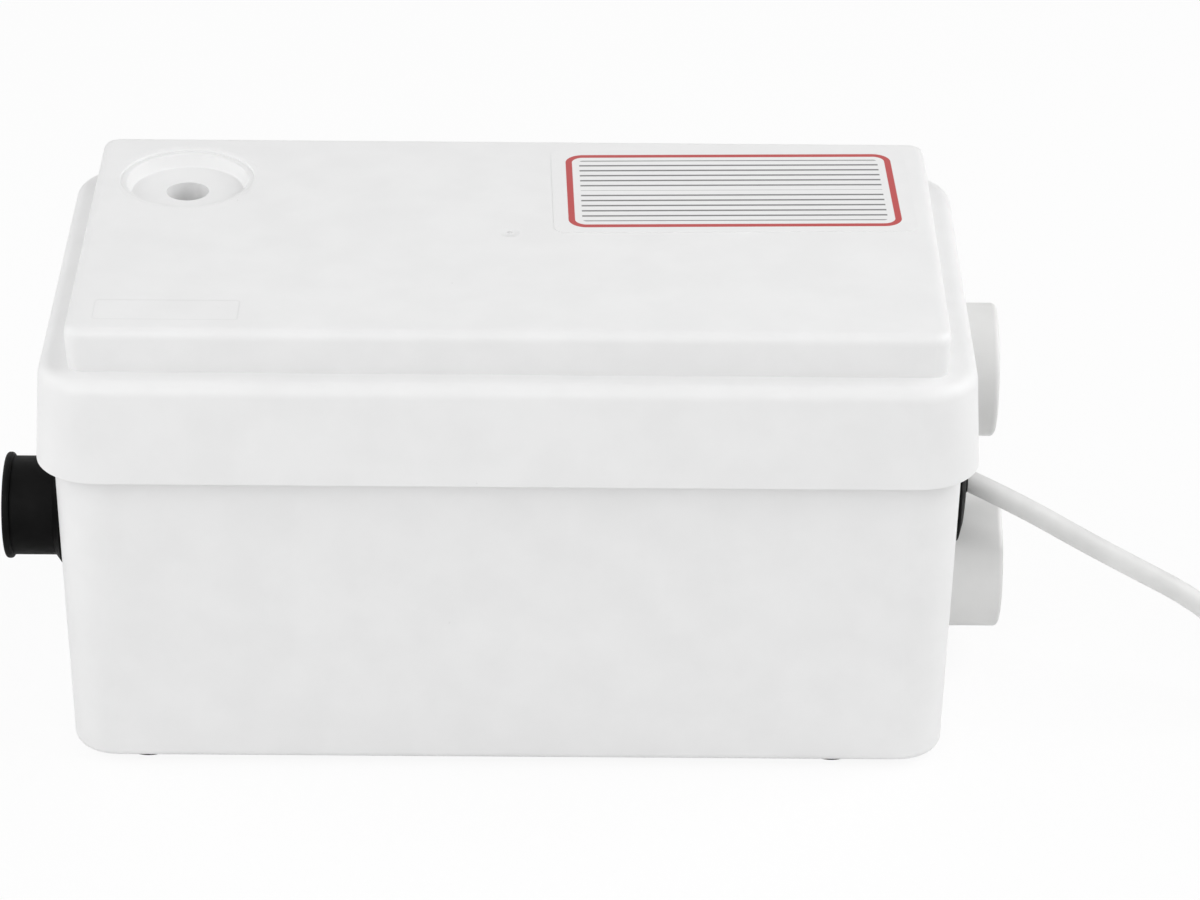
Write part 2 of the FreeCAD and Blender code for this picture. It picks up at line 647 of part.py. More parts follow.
def make_lid():
    body = new_body("lid")
    ledge_length = S.case_length - 2 * S.lid_draft
    ledge_width = S.case_width - 2 * S.lid_draft

    def outline(height, length, width, corner):
        return rounded_rectangle(new_sketch(body, "XY_Plane", height), length, width, corner)

    skirt = outline(S.skirt_bottom, S.case_length, S.case_width, S.lid_corner)
    drafted_pad(body, skirt, S.ledge_top - S.skirt_bottom, S.lid_draft, S.skirt_bottom)
    round_edges(body, S.ledge_round, at_height(S.ledge_top))
    inset = 2 * S.panel_draft
    base_corner = S.panel_corner + S.panel_draft
    panel = outline(S.ledge_top - 1, PANEL_LENGTH - inset, PANEL_WIDTH - inset, S.panel_corner)
    height = S.case_top - S.ledge_top + 1
    drafted_pad(body, panel, height, S.panel_draft, S.case_top, Reversed=True)
    round_edges(body, S.panel_round, at_height(S.case_top))

    wall = 2 * S.lid_wall
    under_ledge = S.ledge_top - S.lid_wall
    corner = S.lid_corner - S.lid_wall
    mouth = outline(S.skirt_bottom, S.case_length - wall, S.case_width - wall, corner)
    roof = outline(under_ledge, ledge_length - wall, ledge_width - wall, corner - S.lid_draft)
    loft(body, "SubtractiveLoft", mouth, roof)
    corner = S.panel_corner - S.lid_wall
    base_corner = base_corner - S.lid_wall
    low = outline(under_ledge - 1, PANEL_LENGTH - wall, PANEL_WIDTH - wall, base_corner)
    high = outline(
        S.case_top - S.lid_wall, PANEL_LENGTH - wall - inset, PANEL_WIDTH - wall - inset, corner
    )
    loft(body, "SubtractiveLoft", low, high)

    # tongue that presses on the gasket
    tongue = new_sketch(body, "XY_Plane", S.rim_height + S.gasket_height)
    outer = 2 * (S.rim_gap_side + 0.9)
    inner = 2 * S.tank_wall
    rounded_rectangle(tongue, RIM_LENGTH + outer, RIM_WIDTH + outer, RIM_CORNER + outer / 2)
    rounded_rectangle(tongue, RIM_LENGTH - inner, RIM_WIDTH - inner, RIM_CORNER - S.tank_wall)
    pad(body, tongue, under_ledge - S.rim_height - S.gasket_height + 1)

    # vent recess: a cup under the panel, a tube below it, then the stepped recess and its hole
    place_vent = (-S.vent_left, S.vent_back)
    cup_bottom = RECESS_FLOOR - S.lid_wall
    cup = circle(
        new_sketch(body, "XY_Plane", cup_bottom), S.vent_rim_radius + S.lid_wall, *place_vent
    )
    pad(body, cup, S.case_top - cup_bottom - S.lid_wall + 0.5)
    stem = new_sketch(body, "XY_Plane", VENT_TUBE_BOTTOM)
    circle(stem, S.vent_hole_radius + S.vent_tube_wall, *place_vent)
    pad(body, stem, S.vent_tube_length - 1)
    recess = new_sketch(body, "XZ_Plane", -S.vent_back, across=-S.vent_left)
    polygon(
        recess,
        [
            (0, RECESS_FLOOR),
            (S.vent_floor_radius, RECESS_FLOOR),
            (S.vent_step_radius, S.case_top - S.vent_step_depth),
            (S.vent_rim_radius, S.case_top - S.vent_step_depth),
            (S.vent_rim_radius, S.case_top - S.vent_lip_drop),
            (S.vent_rim_radius + S.vent_lip_width, S.case_top),
            (S.vent_rim_radius + S.vent_lip_width, S.case_top + 1),
            (0, S.case_top + 1),
        ],
    )
    feature(body, "Groove", Profile=recess, ReferenceAxis=(recess, ["V_Axis"]), Angle=360.0)
    lips = (
        ring_edge(S.vent_rim_radius, S.case_top - S.vent_lip_drop),
        ring_edge(S.vent_step_radius, S.case_top - S.vent_step_depth),
        ring_edge(S.vent_floor_radius, RECESS_FLOOR),
    )
    round_edges(body, S.vent_lip_round, lambda edge: any(lip(edge) for lip in lips))
    mouth = ring_edge(S.vent_rim_radius + S.vent_lip_width, S.case_top)
    round_edges(body, S.vent_lip_blend, mouth)
    hole = new_sketch(body, "XY_Plane", RECESS_FLOOR)
    circle(hole, S.vent_hole_radius, *place_vent)
    pocket(body, hole, S.vent_tube_length + 1)
    return keep(body)


def make_lid_gasket():
    body = new_body("lid_gasket")
    sketch = new_sketch(body, "XY_Plane", S.rim_height)
    inner = 2 * S.tank_wall
    rounded_rectangle(sketch, RIM_LENGTH, RIM_WIDTH, RIM_CORNER)
    rounded_rectangle(sketch, RIM_LENGTH - inner, RIM_WIDTH - inner, RIM_CORNER - S.tank_wall)
    pad(body, sketch, S.gasket_height)
    keep(body)


def make_label():
    body = new_body("label_plate")
    sketch = new_sketch(body, "XY_Plane")
    rounded_rectangle(sketch, S.label_length, S.label_width, 4)
    pad(body, sketch, S.label_thickness)
    turn = Rotation(Vector(0, 0, 1), S.label_turn.number)
    keep(place(body, S.label_right, S.label_back, S.case_top, turn))


def make_vent_filter():
    """Basket on the vent tube, with its charcoal inside."""
    where = {"x": -S.vent_left, "y": S.vent_back, "z": VENT_TUBE_BOTTOM - S.filter_height}
    stem = S.vent_hole_radius + S.vent_tube_wall
    wall = 2.0
    height = S.filter_height
    basket = [
        (5, 0),
        (S.filter_radius, 0),
        (S.filter_radius, height),
        (stem + wall, height),
        (stem + wall, height + 6),
        (stem, height + 6),
        (stem, height - wall),
        (S.filter_radius - wall, height - wall),
        (S.filter_radius - wall, wall),
        (5, wall),
    ]
    turned("filter_basket", basket, **where)
    charcoal = dict(where, z=where["z"] + wall)
    rod("filter_charcoal", S.filter_radius - wall - 0.2, height - 3 * wall, **charcoal)


def make_inlet_fittings():
    for name, back, height in INLETS:
        ring = {"x": SPIGOT_END - S.ring_inset - S.ring_width, "y": back, "z": height}
        inner = S.inlet_radius - S.ring_groove
        outer = S.inlet_radius + S.cap_gap - 0.1
        tube(f"{name}_ring", outer, inner, S.ring_width, turn=ALONG_X, **ring)
        bore = S.inlet_radius + S.cap_gap
        outer = bore + S.cap_wall
        length = S.cap_length
        profile = [
            (0, length - S.cap_end),
            (bore, length - S.cap_end),
            (bore, 0),
            (outer, 0),
            (outer, length),
            (0, length),
        ]
        rounds = [(S.cap_round, outer, length)]
        where = {"x": FITTING_END - length, "y": back, "z": height}
        turned(f"{name}_cap", profile, rounds, turn=ALONG_X, **where)


def make_discharge_sleeve():
    """Rubber sleeve clamped in the tank wall: outer flange, neck, inner flange, end bead."""
    reach = FITTING_END - INNER_FACE
    neck_end = RIM_FACE - INNER_FACE
    bore_step = S.nose_length
    bead = S.sleeve_radius + S.sleeve_bead
    profile = [
        (S.nose_radius, -3),
        (S.sleeve_flange, -3),
        (S.sleeve_flange, 0),
        (S.sleeve_radius, 0),
        (S.sleeve_radius, neck_end),
        (S.sleeve_flange, neck_end),
        (S.sleeve_flange, neck_end + 1.2),
        (S.sleeve_radius, neck_end + 3.2),
        (S.sleeve_radius, reach - S.sleeve_bead_width),
        (bead, reach - S.sleeve_bead_width),
        (bead, reach),
        (S.sleeve_bore, reach),
        (S.sleeve_bore, bore_step),
        (S.nose_radius, bore_step),
    ]
    soft = S.sleeve_bead * 0.9
    rounds = [(soft, bead, reach - S.sleeve_bead_width), (soft, bead, reach)]
    where = {"x": -INNER_FACE, "y": -S.outlet_front, "z": S.outlet_height}
    turned("discharge_sleeve", profile, rounds, turn=AGAINST_X, **where)


def make_flap(label, radius, pin_offset, pin_x, pin_y, pin_z):
    """A hanging disc with a hinge lug above it; the body's origin is the pin's axis."""
    body = new_body(label)
    face = S.flap_pin_stand - S.flap_gap - S.flap_thickness
    disc = circle(new_sketch(body, "YZ_Plane", face), radius, 0, -pin_offset)
    pad(body, disc, S.flap_thickness)
    half_lug = S.flap_lug_width / 2
    lug = circle(new_sketch(body, "XZ_Plane", -half_lug), S.flap_lug_radius)
    pad(body, lug, S.flap_lug_width)
    web = new_sketch(body, "YZ_Plane", face)
    rectangle(web, (-half_lug, -pin_offset + radius - 3), (half_lug, 0))
    pad(body, web, S.flap_thickness)
    hole = new_sketch(body, "XZ_Plane", half_lug + 1)
    circle(hole, S.flap_pin_radius + S.pin_clearance)
    pocket(body, hole, S.flap_lug_width + 2)
    return keep(place(body, pin_x, pin_y, pin_z))


def make_flap_pin(label, x, y, z):
    length = S.flap_lug_width + 2 * (S.ear_width + 0.3)
    rod(label, S.flap_pin_radius, length, x=x, y=y - length / 2, z=z, turn=ALONG_Y)


def make_inlet_flap():
    pin_x = INNER_FACE - S.flap_pin_stand
    pin_z = S.lower_inlet_height + S.inlet_flap_pin_offset
    where = (pin_x, S.lower_inlet_back, pin_z)
    make_flap("inlet_flap", S.inlet_flap_radius, S.inlet_flap_pin_offset, *where)
    make_flap_pin("inlet_flap_pin", *where)


def make_check_valve():
    """Chamber behind the sleeve, its seat ring with hinge ears, and the flap between them."""
    tip = VALVE_NOSE_TIP - VALVE_FRONT
    front = -tip
    inner = S.valve_radius - S.valve_wall
    length = VALVE_NOSE_TIP - VALVE_BACK
    bore = S.valve_seat_radius
    profile = [
        (bore, 0),
        (S.nose_radius - 0.05, 0),
        (S.nose_radius - 0.05, tip),
        (S.valve_radius, tip),
        (S.valve_radius, length),
        (inner, length),
        (inner, tip + S.valve_wall),
        (bore, tip + S.valve_wall),
    ]
    where = {"x": -VALVE_NOSE_TIP, "y": -S.outlet_front, "z": S.outlet_height, "turn": ALONG_X}
    turned("check_valve_body", profile, **where)

    body = new_body("check_valve_seat")
    seat = polygon(
        new_sketch(body, "XZ_Plane"),
        [
            (bore, 0),
            (inner - 0.1, 0),
            (inner - 0.1, 3),
            (S.valve_radius, 3),
            (S.valve_radius, 6),
            (S.hose_bore, 6),
            (S.hose_bore, 6 + S.hose_overlap),
            (S.nozzle_bore, 6 + S.hose_overlap),
            (S.nozzle_bore, 3),
            (bore, 3),
        ],
    )
    feature(body, "Revolution", Profile=seat, ReferenceAxis=(seat, ["V_Axis"]), Angle=360.0)
    # the local X axis points down once the piece is placed, so the ears stand at minus X
    pin_up = -S.check_flap_pin_offset
    pin_out = -S.flap_pin_stand
    for side in (-1, 1):
        near = side * (S.flap_lug_width / 2 + 0.3)
        ears = new_sketch(body, "XZ_Plane", -near)
        low = (pin_up - S.ear_reach, pin_out - S.ear_reach)
        rectangle(ears, low, (pin_up + S.ear_reach, 1))
        pad(body, ears, S.ear_width - 0.7, Reversed=side > 0)
    pin_hole = new_sketch(body, "XZ_Plane", -10)
    circle(pin_hole, S.flap_pin_radius, pin_up, pin_out)
    pocket(body, pin_hole, 20, Reversed=True)
    keep(place(body, -VALVE_SEAT, -S.outlet_front, S.outlet_height, ALONG_X))

    pin_x = -VALVE_SEAT - S.flap_pin_stand
    pin_z = S.outlet_height + S.check_flap_pin_offset
    where = (pin_x, -S.outlet_front, pin_z)
    make_flap("check_flap", S.check_flap_radius, S.check_flap_pin_offset, *where)
    length = S.flap_lug_width + 2 * (S.ear_width - 0.7 + 0.3)
    shift = -S.outlet_front - length / 2
    rod("check_flap_pin", S.flap_pin_radius, length, x=pin_x, y=shift, z=pin_z, turn=ALONG_Y)


def make_discharge_hose():
    """Rubber hose from the pump's nozzle up to the check valve, bent twice."""
    low = NOZZLE_HEIGHT
    high = S.outlet_height
    start = PUMP_X - S.casing_radius + 3
    end = -VALVE_SEAT + 6
    bend = S.hose_bend
    middle = start - S.hose_overlap - bend - 0.3
    body = new_body("discharge_hose")
    spine = new_sketch(body, "XZ_Plane", S.outlet_front)
    stations = [
        (start, low),
        (middle + bend, low),
        (middle, low + bend),
        (middle, high - bend),
        (middle - bend, high),
        (end, high),
    ]
    points = [Vector(float(x), float(z), 0) for x, z in stations]
    centres = {1: (middle + bend, low + bend), 3: (middle - bend, high - bend)}
    turns = {1: (180, 270), 3: (0, 90)}
    for number in range(5):
        if number in centres:
            x, z = centres[number]
            round_ = Part.Circle(Vector(float(x), float(z), 0), Vector(0, 0, 1), float(bend))
            first, last = (math.radians(angle) for angle in turns[number])
            sketch_arc = Part.ArcOfCircle(round_, first, last)
            spine.addGeometry(sketch_arc)
            index = spine.addConstraint(Sketcher.Constraint("Radius", number, float(bend)))
            spine.setExpression(f"Constraints[{index}]", bend.formula)
        else:
            spine.addGeometry(Part.LineSegment(points[number], points[number + 1]))
            hold(spine, number, 1, *stations[number])
            hold(spine, number, 2, *stations[number + 1])
    joints = ((0, 2, 1, 2), (1, 1, 2, 1), (2, 2, 3, 1), (3, 2, 4, 1))
    for joint in joints:
        spine.addConstraint(Sketcher.Constraint("Coincident", *joint))
    wall = new_sketch(body, "YZ_Plane", start, across=-S.outlet_front, up=low)
    circle(wall, S.hose_bore + S.hose_wall)
    circle(wall, S.hose_bore)
    doc.recompute()
    feature(body, "AdditivePipe", Profile=wall, Spine=spine)
    keep(body)

    outer = S.hose_bore + S.hose_wall
    clips = []
    spots = ((start - 1 - S.clip_width, low), (end + 1, high))
    for number, (x, z) in enumerate(spots):
        band = new_body(f"hose_clip_{number}")
        ring = new_sketch(band, "YZ_Plane")
        circle(ring, outer + S.clip_thickness)
        circle(ring, outer)
        pad(band, ring, S.clip_width)
        lug = new_sketch(band, "YZ_Plane")
        rectangle(lug, (-4, outer + 0.4), (4, outer + 5))
        pad(band, lug, S.clip_width)
        clips.append(place(band, x, -S.outlet_front, z))
    group("hose_clips", clips)


def make_pump_casing():
    body = new_body("volute_casing")
    inner = S.casing_radius - S.casing_wall
    pad(body, circle(new_sketch(body, "XY_Plane"), S.casing_radius), S.casing_height)
    mid = S.casing_height / 2
    nozzle = circle(new_sketch(body, "YZ_Plane", -10), S.hose_bore, -S.outlet_front, mid)
    reach = S.casing_radius - 3 + S.hose_overlap
    pad(body, nozzle, reach - 10, Reversed=True)
    lug = new_sketch(body, "XY_Plane", POST_TOP + 3 - S.casing_bottom)
    half = S.lug_width / 2
    rectangle(lug, (-S.lug_circle - half, -half), (-inner - 1, half))
    arm = pad(body, lug, S.lug_thickness)
    doc.recompute()
    pattern(body, arm, (lug, ["N_Axis"]), 3)
    doc.recompute()
    hollow = circle(new_sketch(body, "XY_Plane", S.casing_height), inner)
    pocket(body, hollow, S.casing_height - S.casing_wall)
    eye = circle(new_sketch(body, "XY_Plane", S.casing_wall), S.eye_radius)
    pocket(body, eye, S.casing_wall + 1)
    bore = new_sketch(body, "YZ_Plane", -reach - 1)
    circle(bore, S.nozzle_bore, -S.outlet_front, mid)
    pocket(body, bore, reach - 4, Reversed=True)
    holes = new_sketch(body, "XY_Plane", POST_TOP + 3 + S.lug_thickness - S.casing_bottom)
    for x, y in PUMP_FEET:
        circle(holes, S.screw_radius, x - PUMP_X, y)
    pocket(body, holes, S.lug_thickness + 1)
    keep(place(body, PUMP_X, 0, S.casing_bottom))


def make_pump_feet():
    """Rubber blocks between the floor posts and the casing's lugs, and their screws."""
    blocks = []
    for number, (x, y) in enumerate(PUMP_FEET):
        block = new_body(f"pump_mount_{number}")
        sketch = circle(new_sketch(block, "XY_Plane"), S.post_radius)
        circle(sketch, S.screw_radius)
        pad(block, sketch, 3)
        blocks.append(place(block, x, y, POST_TOP))
    group("pump_mounts", blocks)
    top = POST_TOP + 3 + S.lug_thickness
    group("pump_mount_screws", screws("pump_mount_screw", PUMP_FEET, top, 12.0))


def make_strainer():
    body = new_body("suction_strainer")
    outer = S.strainer_radius
    top = S.strainer_height
    profile = [
        (outer - 2, 0),
        (outer, 0),
        (outer, top),
        (S.eye_radius, top),
        (S.eye_radius, top - 1.2),
        (outer - 2, top - 1.2),
    ]
    sketch = polygon(new_sketch(body, "XZ_Plane"), profile)
    feature(body, "Revolution", Profile=sketch, ReferenceAxis=(sketch, ["V_Axis"]), Angle=360.0)
    notch = new_sketch(body, "XY_Plane")
    rectangle(notch, (outer - 4, -1.5), (outer + 2, 1.5))
    cut = pocket(body, notch, top - 1.6, Reversed=True)
    pattern(body, cut, (notch, ["N_Axis"]), 14)
    keep(place(body, PUMP_X, 0, S.casing_bottom - top))


def make_rotor():
    """What turns: impeller, seal head, shaft and rotor core."""
    bottom = S.casing_bottom + S.casing_wall + S.impeller_gap
    body = new_body("impeller")
    hub = circle(new_sketch(body, "XY_Plane"), 8)
    pad(body, hub, S.impeller_height)
    disc = new_sketch(body, "XY_Plane", S.impeller_height - S.impeller_disc)
    pad(body, circle(disc, S.impeller_radius), S.impeller_disc)
    vane = new_sketch(body, "XY_Plane")
    polygon(vane, [(7, -1), (18, 2.2), (S.impeller_radius - 1, 8), (S.impeller_radius - 2, 10.4), (17, 4.6), (6, 1.5)])
    blade = pad(body, vane, S.impeller_height - 1)
    doc.recompute()
    pattern(body, blade, (vane, ["N_Axis"]), 6)
    doc.recompute()
    pocket(body, circle(new_sketch(body, "XY_Plane", S.impeller_height), S.shaft_radius), S.impeller_height + 1)
    keep(place(body, PUMP_X, 0, bottom))

    top = bottom + S.impeller_height
    where = {"x": PUMP_X, "y": 0}
    tube("seal_head", 8, S.shaft_radius, CASING_TOP - 0.3 - top, z=top, **where)
    shaft_top = CAN_TOP - 0.5
    rod("rotor_shaft", S.shaft_radius, shaft_top - bottom, z=bottom, **where)
    stack = BASE_TOP + (S.can_height - S.stack_height) / 2
    ring = S.rotor_radius - 4
    height = S.stack_height
    profile = [
        (S.shaft_radius, 0),
        (S.rotor_radius, 0),
        (S.rotor_radius, height),
        (ring + 3, height),
        (ring + 3, height + 3),
        (ring - 3, height + 3),
        (ring - 3, height),
        (S.shaft_radius, height),
    ]
    turned("rotor_core", profile, z=stack, **where)


def make_stator():
    stack = BASE_TOP + (S.can_height - S.stack_height) / 2
    outer = S.can_radius - S.can_wall
    core = new_body("stator_core")
    ring = circle(new_sketch(core, "XY_Plane"), outer - 0.05)
    circle(ring, S.rotor_radius + S.air_gap)
    pad(core, ring, S.stack_height)
    slot = circle(new_sketch(core, "XY_Plane", S.stack_height), S.slot_radius, S.slot_circle)
    cut = pocket(core, slot, S.stack_height + 1)
    pattern(core, cut, (slot, ["N_Axis"]), 12)
    keep(place(core, PUMP_X, 0, stack))

    winding = new_body("stator_winding")
    head = 7.0
    for level in (-head - 3, S.stack_height + 3):
        end_ring = circle(new_sketch(winding, "XY_Plane", level), S.slot_circle + 5)
        circle(end_ring, S.slot_circle - 5)
        if level == -head - 3:
            pad(winding, end_ring, head)
            bars = new_sketch(winding, "XY_Plane", -4)
            circle(bars, S.slot_radius - 0.3, S.slot_circle)
            bar = pad(winding, bars, S.stack_height + 8)
            doc.recompute()
            pattern(winding, bar, (bars, ["N_Axis"]), 12)
            doc.recompute()
        else:
            pad(winding, end_ring, head)
    keep(place(winding, PUMP_X, 0, stack))


def make_motor_housing():
    where = {"x": PUMP_X, "y": 0}
    hub = S.bearing_radius + 4
    pocket_floor = S.base_thickness + 2
    hub_top = pocket_floor + S.bearing_width
    body = new_body("motor_base")
    sketch = polygon(
        new_sketch(body, "XZ_Plane"),
        [
            (6, 0),
            (S.base_radius, 0),
            (S.base_radius, S.base_thickness),
            (hub, S.base_thickness),
            (hub, hub_top),
            (S.bearing_radius, hub_top),
            (S.bearing_radius, pocket_floor),
            (6, pocket_floor),
        ],
    )
    feature(body, "Revolution", Profile=sketch, ReferenceAxis=(sketch, ["V_Axis"]), Angle=360.0)
    threads = new_sketch(body, "XY_Plane", S.base_thickness)
    for x, y in TIE_BOLTS:
        circle(threads, S.screw_radius, x - PUMP_X, y)
    pocket(body, threads, S.base_thickness - 2)
    keep(place(body, PUMP_X, 0, CASING_TOP))

    tube("seal_seat", 6, S.shaft_radius + 0.3, 5, z=CASING_TOP, **where)
    bore = S.shaft_radius + S.running_clearance
    width = S.bearing_width
    tube("lower_bearing", S.bearing_radius, bore, width, z=CASING_TOP + pocket_floor, **where)
    tube("motor_can", S.can_radius, S.can_radius - S.can_wall, S.can_height, z=BASE_TOP, **where)
    seat = CAN_TOP - 2 - S.bearing_width
    tube("upper_bearing", S.bearing_radius, bore, width, z=seat, **where)

    cover = new_body("motor_cover")
    rise = 2 + S.bearing_width
    sketch = polygon(
        new_sketch(cover, "XZ_Plane"),
        [
            (0, S.cover_thickness),
            (0, 0),
            (S.shaft_radius + 2, 0),
            (S.shaft_radius + 2, -2),
            (S.bearing_radius, -2),
            (S.bearing_radius, -rise),
            (hub, -rise),
            (hub, 0),
            (S.base_radius, 0),
            (S.base_radius, S.cover_thickness - 1.2),
            (S.base_radius - 1.2, S.cover_thickness),
        ],
    )
    feature(cover, "Revolution", Profile=sketch, ReferenceAxis=(sketch, ["V_Axis"]), Angle=360.0)
    holes = new_sketch(cover, "XY_Plane", S.cover_thickness)
    for x, y in TIE_BOLTS:
        circle(holes, S.screw_radius, x - PUMP_X, y)
    pocket(cover, holes, S.cover_thickness + 1)
    keep(place(cover, PUMP_X, 0, CAN_TOP))
    cover_top = CAN_TOP + S.cover_thickness
    length = cover_top - CASING_TOP - 3
    group("motor_tie_bolts", screws("motor_tie_bolt", TIE_BOLTS, cover_top, length))


def box_places(inset):
    """Screw places near the corners of the switch box."""
    low_x, high_x = S.box_left + inset, S.box_left + S.box_length - inset
    low_y, high_y = -S.box_front + inset, -S.box_front + S.box_width - inset
    return [(low_x, low_y), (high_x, low_y), (high_x, high_y), (low_x, high_y)]


def make_switch_box():
    middle = (S.box_left + S.box_length / 2, -S.box_front + S.box_width / 2)
    wall = 2 * S.box_wall
    body = new_body("switch_box")
    outer = new_sketch(body, "XY_Plane", S.box_bottom)
    rounded_rectangle(outer, S.box_length, S.box_width, S.box_corner, *middle)
    pad(body, outer, S.box_height)
    inner = new_sketch(body, "XY_Plane", BOX_TOP)
    corner = S.box_corner - S.box_wall
    rounded_rectangle(inner, S.box_length - wall, S.box_width - wall, corner, *middle)
    pocket(body, inner, S.box_height - S.box_floor)
    corners = new_sketch(body, "XY_Plane", S.box_bottom + 1)
    for x, y in box_places(5):
        circle(corners, 4, x, y)
    pad(body, corners, S.box_height - 1)
    threads = new_sketch(body, "XY_Plane", BOX_TOP)
    for x, y in box_places(5):
        circle(threads, S.screw_radius, x, y)
    pocket(body, threads, 12)
    chamber = circle(
        new_sketch(body, "XY_Plane", MEMBRANE_TOP), S.bell_flange, S.bell_left, -S.bell_front
    )
    pad(body, chamber, S.switch_drop + 0.5)
    cavity = circle(
        new_sketch(body, "XY_Plane", MEMBRANE_TOP), S.bell_flange - 4, S.bell_left, -S.bell_front
    )
    pocket(body, cavity, S.switch_drop, Reversed=True)
    stem_hole = circle(
        new_sketch(body, "XY_Plane", BOX_FLOOR_TOP), 2.3, S.bell_left, -S.bell_front
    )
    pocket(body, stem_hole, S.box_floor + 1)
    gland_hole = new_sketch(body, "YZ_Plane", S.box_left + S.box_length)
    circle(gland_hole, S.gland_neck + 0.05, -S.gland_front, S.gland_height)
    pocket(body, gland_hole, S.box_wall + 1)
    leg_holes = new_sketch(body, "XY_Plane", BOX_FLOOR_TOP)
    for x, y in BOX_POSTS:
        circle(leg_holes, S.screw_radius, x, y)
    pocket(body, leg_holes, S.box_floor + 1)
    keep(body)
    box_screws = screws("box_foot_screw", BOX_POSTS, BOX_FLOOR_TOP, 10.0, 2.0)

    cover = new_body("switch_box_cover")
    lid = new_sketch(cover, "XY_Plane", BOX_TOP)
    rounded_rectangle(lid, S.box_length, S.box_width, S.box_corner, *middle)
    pad(cover, lid, S.cover_height)
    holes = new_sketch(cover, "XY_Plane", BOX_TOP + S.cover_height)
    for x, y in box_places(5):
        circle(holes, S.screw_radius, x, y)
    pocket(cover, holes, S.cover_height + 1)
    keep(cover)
    box_screws += screws("box_cover_screw", box_places(5), BOX_TOP + S.cover_height, 10.0, 2.0)
    group("switch_box_screws", box_screws)


def make_electrics():
    radius = S.capacitor_radius
    length = S.box_width - S.capacitor_front - S.capacitor_back
    front = -S.box_front + S.capacitor_front
    can = {"x": S.box_left + S.capacitor_inset, "y": front, "z": BOX_FLOOR_TOP + radius}
    profile = [(0, 0), (radius, 0), (radius, length), (0, length)]
    turned("run_capacitor", profile, [(1.5, radius, length)], turn=ALONG_Y, **can)

    block = new_body("terminal_block")
    base = new_sketch(block, "XY_Plane")
    rectangle(base, (-7, -18), (7, 18))
    pad(block, base, 15)
    slots = new_sketch(block, "XY_Plane", 15)
    for row in (-12, 0, 12):
        rectangle(slots, (-5.5, row - 4), (-1, row + 4))
        rectangle(slots, (1, row - 4), (5.5, row + 4))
    pocket(block, slots, 6)
    keep(place(block, S.box_left + 45, -S.gland_front, BOX_FLOOR_TOP))

    switch = new_body("microswitch")
    outline = new_sketch(switch, "XZ_Plane", -5)
    polygon(
        outline,
        [(-11, 0), (-7, 0), (-7, 6), (7, 6), (7, 0), (11, 0), (11, 20), (-11, 20)],
    )
    pad(switch, outline, 10)
    button_hole = circle(new_sketch(switch, "XY_Plane", 6), 1.56)
    pocket(switch, button_hole, 7, Reversed=True)
    keep(place(switch, S.bell_left, -S.bell_front, BOX_FLOOR_TOP))
    button = {"x": S.bell_left, "y": -S.bell_front, "z": BOX_FLOOR_TOP + 3}
    rod("microswitch_button", 1.5, 7, **button)


def make_pressure_switch():
    where = {"x": S.bell_left, "y": -S.bell_front}
    flange = MEMBRANE_TOP - S.membrane_thickness
    bell = flange - S.bell_bottom
    inner = S.bell_radius - S.bell_wall
    profile = [
        (inner, 0),
        (S.bell_radius, 0),
        (S.bell_radius, bell - 3),
        (S.bell_flange, bell - 3),
        (S.bell_flange, bell),
        (inner, bell),
    ]
    turned("pressure_bell", profile, z=S.bell_bottom, **where)
    rod("pressure_membrane", S.bell_flange, S.membrane_thickness, z=flange, **where)
    foot = MEMBRANE_TOP + 0.3
    stem_top = BOX_FLOOR_TOP + 3 - 0.3
    profile = [(0, 0), (8, 0), (8, 2), (2, 2), (2, stem_top - foot), (0, stem_top - foot)]
    turned("switch_plunger", profile, z=foot, **where)
    wire = 0.5
    rise = S.box_bottom - foot - 2 - 2 * wire
    helix = doc.addObject("Part::Helix", "plunger_spring_line")
    bind(helix, "Radius", 5)
    bind(helix, "Height", rise)
    bind(helix, "Pitch", rise / 4)
    ring = doc.addObject("Part::Circle", "plunger_spring_wire")
    bind(ring, "Radius", wire)
    ring.Placement = Placement(Vector(5, 0, 0), Rotation(Vector(1, 0, 0), 90))
    spring = doc.addObject("Part::Sweep", "plunger_spring")
    spring.Label = "plunger_spring"
    spring.Sections = [ring]
    spring.Spine = (helix, ["Edge1"])
    spring.Solid = True
    spring.Frenet = True
    keep(place(spring, z=foot + 2 + wire, **where))


def biarc(start, start_way, end, end_way):
    """Two tangent arcs from one point and direction to the next, as edges."""
    span = end - start
    both = start_way + end_way
    spread = 1 - start_way.dot(end_way)
    reach = span.dot(both)
    step = (math.sqrt(reach * reach + 2 * spread * span.dot(span)) - reach) / (2 * spread)
    first_corner = start + start_way * step
    last_corner = end - end_way * step
    meeting = (first_corner + last_corner) * 0.5
    edges = []
    for one, corner, two in ((start, first_corner, meeting), (meeting, last_corner, end)):
        turn = (corner - one).getAngle(two - corner)
        weight = math.cos(turn / 2)
        middle = (one + corner * (2 * weight) + two) * (0.5 / (1 + weight))
        edges.append(Part.Arc(one, middle, two).toShape())
    return edges


def spiral(turn):
    """A point of the put-away coil: it winds in on the floor, climbs a layer and winds out."""
    middle = S.coil_turns.number / 2
    pitch = S.coil_pitch.number
    core = S.coil_mid_radius.number - pitch * middle / 2
    radius = core + pitch * math.hypot(turn - middle, 0.08)
    climb = min(max(2 * (turn - middle) + 0.5, 0), 1)
    height = S.cable_radius.number + pitch * climb * climb * (3 - 2 * climb)
    angle = 2 * math.pi * (turn - 0.25)
    return Vector(radius * math.cos(angle), radius * math.sin(angle), height)


